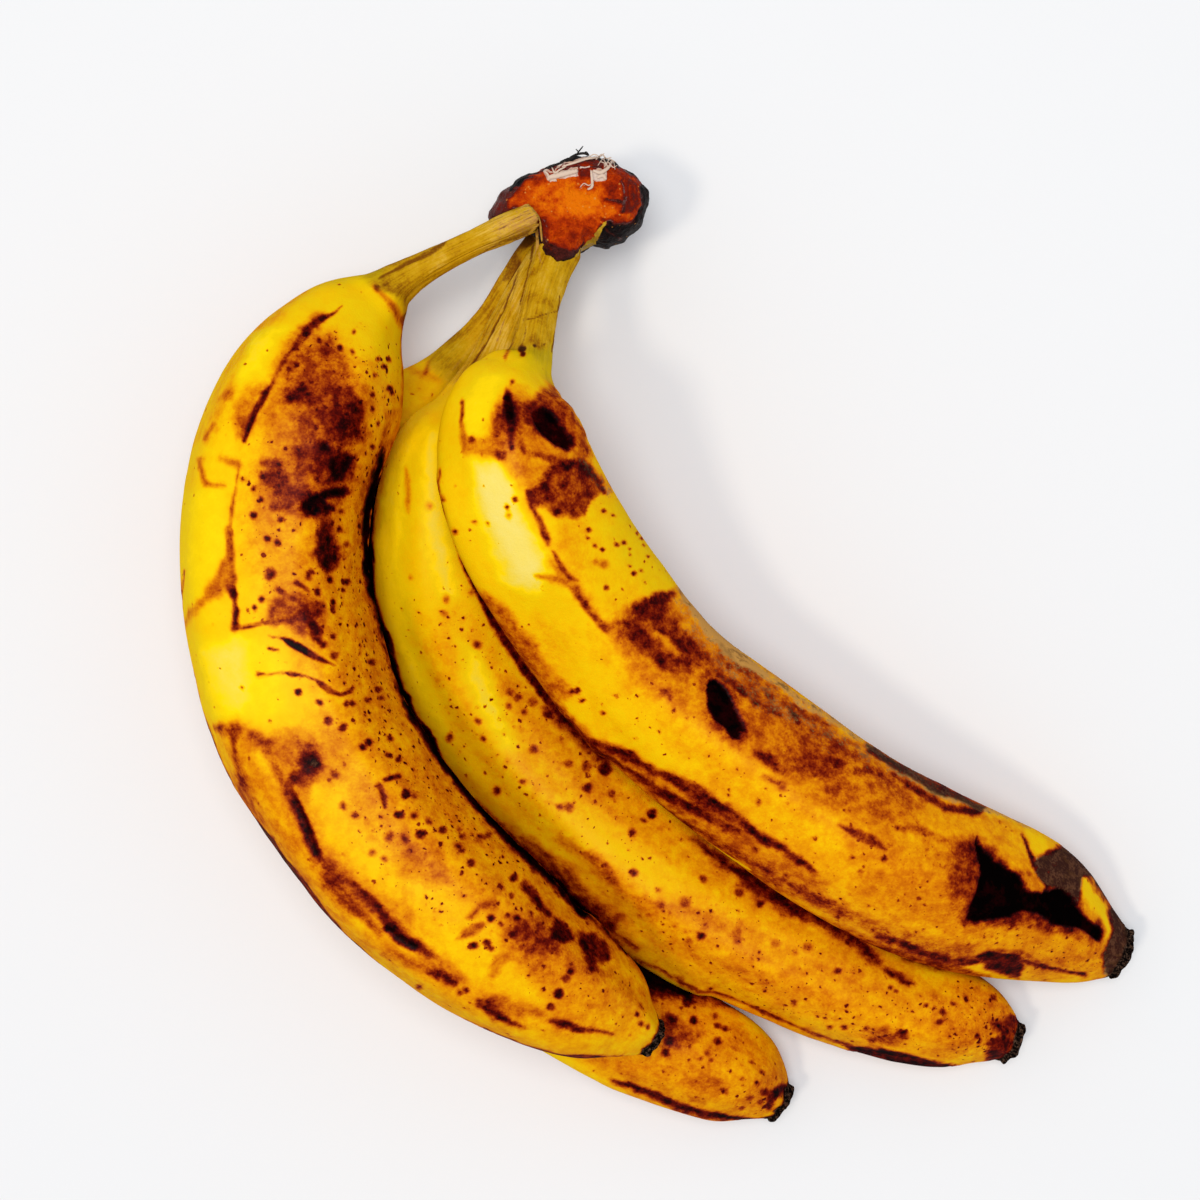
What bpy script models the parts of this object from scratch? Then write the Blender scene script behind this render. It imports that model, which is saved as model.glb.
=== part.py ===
"""A hand of four ripe plantains, still joined at the cut crown, lying on a flat surface.

Metres, +Z up. The surface is at z = 0. X runs across the hand and Y along it, towards the crown.
Each finger is one solid, from its stalk in the crown to its dry blossom end.
"""
import math

import bmesh
import bpy
from mathutils import Vector, noise

MM = 0.001

# The gap that a stalk keeps to the wall of its socket in the crown.
SOCKET_GAP = 0.4 * MM

# A socket's cutter follows this many rings of the stalk.
SOCKET_RINGS = 7

# A finger's section has five faces, with this many sides to each.
FACES_AROUND = 5
SIDES_PER_FACE = 5
SIDES = FACES_AROUND * SIDES_PER_FACE

# Rings from one point of a finger's route to the next.
RINGS_PER_SPAN = 2

# A ring leans by this share of the slope of its route.
RING_LEAN = 0.5

# How far the ridges between the faces stand out, as a share of the radius.
BODY_RIDGE = 0.07
STALK_RIDGE = 0.10
STALK_RADIUS = 5.5 * MM
BODY_RADIUS = 11.0 * MM

# The height of a section as a share of its width: a stalk is deep, a lying body a little flat.
STALK_HEIGHT_SHARE = 1.15
BODY_HEIGHT_SHARE = 0.95

# How sharply the section peaks at each ridge.
RIDGE_SHARPNESS = 4

# The dry blossom end: its ragged rim and the shallow hollow inside it, against the last ring.
END_LENGTH = 0.9 * MM
END_RIM_SHARE = 0.9
END_HOLLOW_SHARE = 0.62
END_HOLLOW_DEPTH = 1.2 * MM
END_RAGGEDNESS = 0.14
END_RAGGED_TURNS = (3.0, 1.7)

# Every route runs from the crown to the blossom end, in millimetres: across, along, height of the
# middle, and half of the width that shows from above.
PLANTAIN_LEFT_ROUTE = (
    (-34.5, 103.5, 38.5, 3.4),
    (-40.5, 101.0, 38.0, 3.5),
    (-48.5, 97.5, 37.5, 3.1),
    (-58.5, 92.5, 38.0, 3.6),
    (-65.0, 88.5, 39.0, 4.8),
    (-69.0, 85.0, 40.5, 6.8),
    (-77.0, 76.0, 43.5, 15.0),
    (-84.5, 62.0, 48.5, 21.0),
    (-92.0, 43.5, 52.0, 22.1),
    (-94.5, 21.5, 53.2, 22.0),
    (-92.5, 3.5, 53.2, 22.0),
    (-87.0, -16.0, 53.2, 22.2),
    (-77.0, -33.5, 53.2, 21.8),
    (-63.5, -51.0, 53.2, 21.4),
    (-45.0, -67.5, 52.0, 19.8),
    (-26.5, -81.0, 48.0, 16.0),
    (-14.0, -88.0, 43.0, 11.0),
    (-5.5, -93.5, 38.5, 4.3),
)

PLANTAIN_UNDER_ROUTE = (
    (-28.0, 106.5, 17.5, 3.2),
    (-34.0, 99.0, 17.0, 3.5),
    (-38.0, 92.0, 16.0, 4.0),
    (-44.0, 81.5, 14.0, 4.7),
    (-50.5, 74.0, 12.4, 5.4),
    (-57.0, 67.0, 11.6, 7.0),
    (-65.0, 58.5, 12.6, 11.8),
    (-75.5, 49.5, 14.2, 14.8),
    (-83.0, 38.5, 14.8, 16.2),
    (-88.5, 19.0, 15.2, 16.7),
    (-87.5, -5.5, 15.2, 16.7),
    (-82.0, -22.0, 15.2, 16.7),
    (-72.5, -39.0, 15.2, 16.7),
    (-59.0, -56.5, 15.2, 16.7),
    (-44.0, -71.0, 15.2, 16.6),
    (-27.5, -84.3, 15.0, 16.2),
    (-9.4, -95.5, 14.4, 15.5),
    (6.3, -102.4, 13.6, 14.9),
    (18.5, -108.5, 11.2, 12.2),
    (27.5, -115.0, 8.0, 4.8),
)

PLANTAIN_MIDDLE_ROUTE = (
    (-27.5, 102.5, 25.0, 3.2),
    (-32.2, 94.0, 25.8, 3.8),
    (-37.0, 84.5, 27.0, 4.4),
    (-41.5, 74.5, 28.5, 5.0),
    (-44.5, 67.0, 30.2, 6.0),
    (-49.0, 56.5, 31.8, 9.0),
    (-53.5, 47.0, 33.0, 13.6),
    (-55.5, 34.5, 32.0, 15.8),
    (-55.5, 21.0, 29.5, 16.9),
    (-53.5, 8.5, 25.2, 17.2),
    (-49.0, -5.0, 20.4, 17.4),
    (-40.5, -19.5, 16.4, 17.5),
    (-27.5, -35.0, 15.9, 17.5),
    (-6.5, -55.0, 15.8, 17.4),
    (11.0, -67.5, 15.5, 17.1),
    (36.0, -80.0, 14.8, 16.3),
    (57.0, -89.5, 13.2, 14.3),
    (74.5, -94.0, 11.2, 12.1),
    (86.0, -99.5, 8.2, 5.6),
)

PLANTAIN_RIGHT_ROUTE = (
    (-24.5, 101.5, 33.6, 4.2),
    (-26.7, 96.5, 34.5, 5.0),
    (-29.0, 91.0, 37.5, 4.8),
    (-31.5, 82.0, 42.5, 4.3),
    (-33.0, 73.5, 47.5, 4.6),
    (-34.3, 67.5, 52.0, 5.6),
    (-36.8, 63.0, 55.8, 9.4),
    (-38.5, 58.0, 59.0, 13.4),
    (-38.5, 51.0, 60.5, 16.4),
    (-36.5, 42.0, 60.2, 17.8),
    (-29.5, 26.5, 54.8, 18.5),
    (-18.0, 9.0, 46.2, 18.8),
    (-3.0, -10.5, 40.2, 19.7),
    (19.5, -28.5, 36.4, 20.8),
    (42.5, -44.5, 33.8, 21.0),
    (65.5, -56.5, 27.2, 20.9),
    (88.0, -65.0, 17.2, 18.4),
    (103.0, -72.8, 12.0, 12.3),
    (113.0, -77.0, 9.0, 6.2),
)

# The turn of the ridges about each finger's middle line, so that they lie as they grew.
RIDGE_TURN = {
    "plantain_left": math.radians(120.0),
    "plantain_under": math.radians(100.0),
    "plantain_middle": math.radians(147.0),
    "plantain_right": math.radians(162.0),
}

# The crown: its middle, and how far it reaches each way, in millimetres by degrees from +X.
CROWN_CENTRE = Vector((-23.9, 107.7, 28.0)) * MM
CROWN_REACH = (
    (11.0, 18.6),
    (20.0, 17.4),
    (40.0, 15.0),
    (60.0, 13.2),
    (82.0, 12.0),
    (107.0, 11.0),
    (135.0, 11.6),
    (161.0, 15.8),
    (174.0, 18.6),
    (188.0, 20.8),
    (205.0, 12.5),
    (221.0, 11.9),
    (235.0, 13.5),
    (253.0, 14.8),
    (265.0, 14.4),
    (280.0, 12.0),
    (297.0, 11.1),
    (314.0, 14.4),
    (330.0, 15.8),
    (347.0, 17.2),
)
CROWN_HALF_HEIGHT = 14.0 * MM
CROWN_CUT_HEIGHT = 11.5 * MM
CROWN_DETAIL = 4

# Powers below 1 make the crown's sides and ends fuller than a ball's.
CROWN_SIDE_FULLNESS = 0.7
CROWN_END_FULLNESS = 0.8

# The lumps over the crown: how far they stand out, and how wide they are.
CROWN_LUMP = 0.9 * MM
CROWN_LUMP_SIZE = 7.0 * MM


def clear_scene():
    for item in list(bpy.data.objects):
        bpy.data.objects.remove(item, do_unlink=True)


def make_material(name, colour, roughness):
    material = bpy.data.materials.new(name)
    material.use_nodes = True
    shader = material.node_tree.nodes["Principled BSDF"]
    shader.inputs["Base Color"].default_value = (*colour, 1.0)
    shader.inputs["Roughness"].default_value = roughness
    shader.inputs["Metallic"].default_value = 0.0
    return material


def catmull_rom(before, start, end, after, share):
    """The smooth curve from start to end, at a share from 0 to 1."""
    return 0.5 * (
        2.0 * start
        + (end - before) * share
        + (2.0 * before - 5.0 * start + 4.0 * end - after) * share ** 2
        + (3.0 * start - before - 3.0 * end + after) * share ** 3
    )


def smooth_route(route):
    """Points of the middle line with their half widths, as four-part vectors in metres."""
    points = [Vector(point) * MM for point in route]
    points = [2.0 * points[0] - points[1], *points, 2.0 * points[-1] - points[-2]]
    samples = []
    for index in range(1, len(points) - 2):
        for step in range(RINGS_PER_SPAN):
            share = step / RINGS_PER_SPAN
            samples.append(catmull_rom(*points[index - 1:index + 3], share))
    samples.append(points[-2])
    return samples


def ease(low, high, value):
    """Rises smoothly from 0 at low to 1 at high."""
    share = min(max((value - low) / (high - low), 0.0), 1.0)
    return share * share * (3.0 - 2.0 * share)


def section_radius(angle, radius, ridge_turn):
    """A rounded five-sided section: sharp-edged on the stalk and soft on the body."""
    body = ease(STALK_RADIUS, BODY_RADIUS, radius)
    ridge = STALK_RIDGE + (BODY_RIDGE - STALK_RIDGE) * body
    crest = abs(math.cos(FACES_AROUND * (angle - ridge_turn) / 2.0)) ** RIDGE_SHARPNESS
    return radius * (1.0 - ridge / 2.0 + ridge * crest)


def finger_rings(route, ridge_turn, widen=0.0):
    """The rings of points around a finger, laid down no lower than the surface."""
    samples = smooth_route(route)
    rings = []
    for index, sample in enumerate(samples):
        ahead = samples[min(index + 1, len(samples) - 1)].xyz
        behind = samples[max(index - 1, 0)].xyz
        climb = Vector((1.0, 1.0, RING_LEAN))
        along = ((ahead - behind) * climb).normalized()
        across = Vector((0.0, 0.0, 1.0)).cross(along).normalized()
        upward = along.cross(across)
        radius = sample.w
        body = ease(STALK_RADIUS, BODY_RADIUS, radius)
        height_share = STALK_HEIGHT_SHARE + (BODY_HEIGHT_SHARE - STALK_HEIGHT_SHARE) * body
        ring = []
        for side in range(SIDES):
            angle = ridge_turn + math.tau * side / SIDES
            reach = section_radius(angle, radius, ridge_turn) + widen
            point = sample.xyz + across * (-reach * math.cos(angle))
            point += upward * (reach * math.sin(angle) * height_share)
            point.z = max(point.z, 0.0)
            ring.append(point)
        rings.append(ring)
    return rings


def blossom_end(rings):
    """The ragged rim of the dry blossom end, and the hollow inside it."""
    last = rings[-1]
    middle = sum(last, Vector()) / SIDES
    along = (middle - sum(rings[-2], Vector()) / SIDES).normalized()
    fast, slow = END_RAGGED_TURNS
    rim = []
    hollow = []
    for side, point in enumerate(last):
        ragged = 1.0 + END_RAGGEDNESS * math.sin(fast * side) * math.cos(slow * side)
        spoke = (point - middle) * ragged
        rim.append(middle + spoke * END_RIM_SHARE + along * END_LENGTH)
        hollow.append(middle + spoke * END_HOLLOW_SHARE + along * (END_LENGTH - END_HOLLOW_DEPTH))
    for point in rim + hollow:
        point.z = max(point.z, 0.0)
    return [rim, hollow]


def loft(name, rings, material):
    """One closed solid through the rings, extruded from one to the next."""
    mesh = bmesh.new()
    side_of = mesh.verts.layers.int.new("side")
    bmesh.ops.create_circle(mesh, segments=SIDES, radius=1.0, cap_ends=False)
    mesh.verts.ensure_lookup_table()
    for side, vertex in enumerate(mesh.verts):
        vertex[side_of] = side
        vertex.co = rings[0][side]
    edges = list(mesh.edges)
    first_edges = list(edges)
    for ring in rings[1:]:
        grown = bmesh.ops.extrude_edge_only(mesh, edges=edges)["geom"]
        edges = [item for item in grown if isinstance(item, bmesh.types.BMEdge)]
        edges = [edge for edge in edges if len(edge.link_faces) == 1]
        for vertex in (item for item in grown if isinstance(item, bmesh.types.BMVert)):
            vertex.co = ring[vertex[side_of]]
    for border in (first_edges, edges):
        bmesh.ops.contextual_create(mesh, geom=border)
    bmesh.ops.triangulate(mesh, faces=mesh.faces[:])
    bmesh.ops.recalc_face_normals(mesh, faces=mesh.faces[:])
    return finish_object(name, mesh, material)


def finish_object(name, mesh, material):
    data = bpy.data.meshes.new(name)
    mesh.to_mesh(data)
    mesh.free()
    data.shade_smooth()
    data.set_sharp_from_angle(angle=math.radians(45.0))
    if material:
        data.materials.append(material)
    item = bpy.data.objects.new(name, data)
    bpy.context.scene.collection.objects.link(item)
    return item


def make_finger(name, route, material):
    rings = finger_rings(route, RIDGE_TURN[name])
    return loft(name, rings + blossom_end(rings), material)


def crown_reach(degrees):
    """How far the crown's outline reaches in this direction, eased between the listed ones."""
    listed = [*CROWN_REACH, (CROWN_REACH[0][0] + 360.0, CROWN_REACH[0][1])]
    turned = (degrees - listed[0][0]) % 360.0 + listed[0][0]
    for (low, near), (high, far) in zip(listed, listed[1:]):
        if low <= turned <= high:
            return (near + (far - near) * ease(low, high, turned)) * MM
    return listed[0][1] * MM


def make_crown(material):
    """The lumpy cushion that the stalks grow from, cut off flat on top."""
    mesh = bmesh.new()
    bmesh.ops.create_icosphere(mesh, subdivisions=CROWN_DETAIL, radius=1.0)
    for vertex in mesh.verts:
        way = vertex.co.normalized()
        level = math.hypot(way.x, way.y)
        reach = crown_reach(math.degrees(math.atan2(way.y, way.x)))
        height = math.copysign(abs(way.z) ** CROWN_END_FULLNESS, way.z) * CROWN_HALF_HEIGHT
        place = Vector((0.0, 0.0, min(height, CROWN_CUT_HEIGHT)))
        if level > 0.0:
            outward = Vector((way.x, way.y, 0.0)) / level
            place += outward * reach * level ** CROWN_SIDE_FULLNESS
        lump = noise.noise(place / CROWN_LUMP_SIZE) * CROWN_LUMP
        vertex.co = CROWN_CENTRE + place + way * lump
    bmesh.ops.recalc_face_normals(mesh, faces=mesh.faces[:])
    return finish_object("crown", mesh, material)


def cut_socket(crown, name, route):
    """Cuts the socket that a finger's stalk stands in, a little wider and deeper than the stalk."""
    rings = finger_rings(route, RIDGE_TURN[name], widen=SOCKET_GAP)[:SOCKET_RINGS]
    outward = (sum(rings[0], Vector()) - sum(rings[1], Vector())).normalized()
    rings[0] = [point + outward * SOCKET_GAP for point in rings[0]]
    cutter = loft(f"{name}_socket", rings, None)
    cutter.hide_render = True
    cutter.display_type = "WIRE"
    cut = crown.modifiers.new(f"{name}_socket", "BOOLEAN")
    cut.operation = "DIFFERENCE"
    cut.solver = "EXACT"
    cut.object = cutter


def build():
    clear_scene()
    peel = {
        "plantain_left": make_material("peel_left", (0.78, 0.40, 0.02), 0.45),
        "plantain_under": make_material("peel_under", (0.70, 0.33, 0.02), 0.48),
        "plantain_middle": make_material("peel_middle", (0.86, 0.52, 0.02), 0.42),
        "plantain_right": make_material("peel_right", (0.72, 0.36, 0.03), 0.45),
    }
    cut_crown = make_material("cut_crown", (0.42, 0.09, 0.02), 0.55)
    routes = {
        "plantain_left": PLANTAIN_LEFT_ROUTE,
        "plantain_under": PLANTAIN_UNDER_ROUTE,
        "plantain_middle": PLANTAIN_MIDDLE_ROUTE,
        "plantain_right": PLANTAIN_RIGHT_ROUTE,
    }
    crown = make_crown(cut_crown)
    for name, route in routes.items():
        make_finger(name, route, peel[name])
        cut_socket(crown, name, route)


build()
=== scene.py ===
"""A hand of four ripe, blotched plantains on one cut crown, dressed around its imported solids."""
import math

import bmesh
import bpy
import numpy as np
from mathutils import Matrix, Vector
from mathutils.bvhtree import BVHTree


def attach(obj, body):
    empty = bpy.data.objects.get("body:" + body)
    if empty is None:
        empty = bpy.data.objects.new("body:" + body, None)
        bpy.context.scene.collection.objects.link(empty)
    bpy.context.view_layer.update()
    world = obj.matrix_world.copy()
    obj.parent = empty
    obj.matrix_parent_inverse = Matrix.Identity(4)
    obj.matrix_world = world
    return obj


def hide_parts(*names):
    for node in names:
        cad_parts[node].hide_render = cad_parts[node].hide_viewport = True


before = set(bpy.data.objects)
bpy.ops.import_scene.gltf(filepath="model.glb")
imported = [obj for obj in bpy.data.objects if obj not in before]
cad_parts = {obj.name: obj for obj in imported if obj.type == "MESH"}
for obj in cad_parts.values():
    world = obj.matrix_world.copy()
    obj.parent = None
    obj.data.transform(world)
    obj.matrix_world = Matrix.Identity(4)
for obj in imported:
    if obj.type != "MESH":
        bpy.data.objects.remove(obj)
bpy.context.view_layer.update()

MM = 0.001

# The camera looks straight down. Marks are placed by the pixel where it sees them.
CAMERA_PLACE = (-0.0174, 0.0116, 0.640)
CAMERA_LENS = 75.0
SENSOR_WIDTH = 36.0
FRAME_PIXELS = 1200.0
PIXELS_AT_ONE_METRE = CAMERA_LENS / SENSOR_WIDTH * FRAME_PIXELS

# The section of a finger, as in the solids: its radius tells stalk from body.
FACES_AROUND = 5
BODY_RIDGE = 0.07
STALK_RIDGE = 0.10
RIDGE_SHARPNESS = 4
STALK_RADIUS = 5.5
BODY_RADIUS = 11.0
STALK_HEIGHT_SHARE = 1.15
BODY_HEIGHT_SHARE = 0.95
RING_LEAN = 0.5

# Every route runs from the crown to the blossom end, in millimetres: across, along, height of the
# middle, and half of the width that shows from above.
ROUTES = {
    "plantain_left": (
        (-34.5, 103.5, 38.5, 3.4), (-40.5, 101.0, 38.0, 3.5), (-48.5, 97.5, 37.5, 3.1),
        (-58.5, 92.5, 38.0, 3.6), (-65.0, 88.5, 39.0, 4.8), (-69.0, 85.0, 40.5, 6.8),
        (-77.0, 76.0, 43.5, 15.0), (-84.5, 62.0, 48.5, 21.0), (-92.0, 43.5, 52.0, 22.1),
        (-94.5, 21.5, 53.2, 22.0), (-92.5, 3.5, 53.2, 22.0), (-87.0, -16.0, 53.2, 22.2),
        (-77.0, -33.5, 53.2, 21.8), (-63.5, -51.0, 53.2, 21.4), (-45.0, -67.5, 52.0, 19.8),
        (-26.5, -81.0, 48.0, 16.0), (-14.0, -88.0, 43.0, 11.0), (-5.5, -93.5, 38.5, 4.3),
    ),
    "plantain_under": (
        (-28.0, 106.5, 17.5, 3.2), (-34.0, 99.0, 17.0, 3.5), (-38.0, 92.0, 16.0, 4.0),
        (-44.0, 81.5, 14.0, 4.7), (-50.5, 74.0, 12.4, 5.4), (-57.0, 67.0, 11.6, 7.0),
        (-65.0, 58.5, 12.6, 11.8), (-75.5, 49.5, 14.2, 14.8), (-83.0, 38.5, 14.8, 16.2),
        (-88.5, 19.0, 15.2, 16.7), (-87.5, -5.5, 15.2, 16.7), (-82.0, -22.0, 15.2, 16.7),
        (-72.5, -39.0, 15.2, 16.7), (-59.0, -56.5, 15.2, 16.7), (-44.0, -71.0, 15.2, 16.6),
        (-27.5, -84.3, 15.0, 16.2), (-9.4, -95.5, 14.4, 15.5), (6.3, -102.4, 13.6, 14.9),
        (18.5, -108.5, 11.2, 12.2), (27.5, -115.0, 8.0, 4.8),
    ),
    "plantain_middle": (
        (-27.5, 102.5, 25.0, 3.2), (-32.2, 94.0, 25.8, 3.8), (-37.0, 84.5, 27.0, 4.4),
        (-41.5, 74.5, 28.5, 5.0), (-44.5, 67.0, 30.2, 6.0), (-49.0, 56.5, 31.8, 9.0),
        (-53.5, 47.0, 33.0, 13.6), (-55.5, 34.5, 32.0, 15.8), (-55.5, 21.0, 29.5, 16.9),
        (-53.5, 8.5, 25.2, 17.2), (-49.0, -5.0, 20.4, 17.4), (-40.5, -19.5, 16.4, 17.5),
        (-27.5, -35.0, 15.9, 17.5), (-6.5, -55.0, 15.8, 17.4), (11.0, -67.5, 15.5, 17.1),
        (36.0, -80.0, 14.8, 16.3), (57.0, -89.5, 13.2, 14.3), (74.5, -94.0, 11.2, 12.1),
        (86.0, -99.5, 8.2, 5.6),
    ),
    "plantain_right": (
        (-24.5, 101.5, 33.6, 4.2), (-26.7, 96.5, 34.5, 5.0), (-29.0, 91.0, 37.5, 4.8),
        (-31.5, 82.0, 42.5, 4.3), (-33.0, 73.5, 47.5, 4.6), (-34.3, 67.5, 52.0, 5.6),
        (-36.8, 63.0, 55.8, 9.4), (-38.5, 58.0, 59.0, 13.4), (-38.5, 51.0, 60.5, 16.4),
        (-36.5, 42.0, 60.2, 17.8), (-29.5, 26.5, 54.8, 18.5), (-18.0, 9.0, 46.2, 18.8),
        (-3.0, -10.5, 40.2, 19.7), (19.5, -28.5, 36.4, 20.8), (42.5, -44.5, 33.8, 21.0),
        (65.5, -56.5, 27.2, 20.9), (88.0, -65.0, 17.2, 18.4), (103.0, -72.8, 12.0, 12.3),
        (113.0, -77.0, 9.0, 6.2),
    ),
}
# Degrees by which the ridges of each finger are turned.
RIDGE_TURN = {
    "plantain_left": 120.0,
    "plantain_under": 100.0,
    "plantain_middle": 147.0,
    "plantain_right": 162.0,
}


def patch(level, soft, *outline):
    """A closed outline of pixels, with an edge this many pixels soft."""
    return "patch", level, soft, outline


def streak(level, soft, *line):
    """A line of pixels, each with the half width of the streak there."""
    return "streak", level, soft, line


def spots(level, soft, *places):
    """Round spots: pixel and radius."""
    return "spots", level, soft, places


# Painted shade: the hollow between the stalks, right under the crown, painted dark where the crown
# and stalks shade it.
STALK_HOLLOW_SHADE = patch(0.95, 4, (503, 242), (516, 232), (530, 226), (536, 238), (528, 248),
                     (510, 252))
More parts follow.
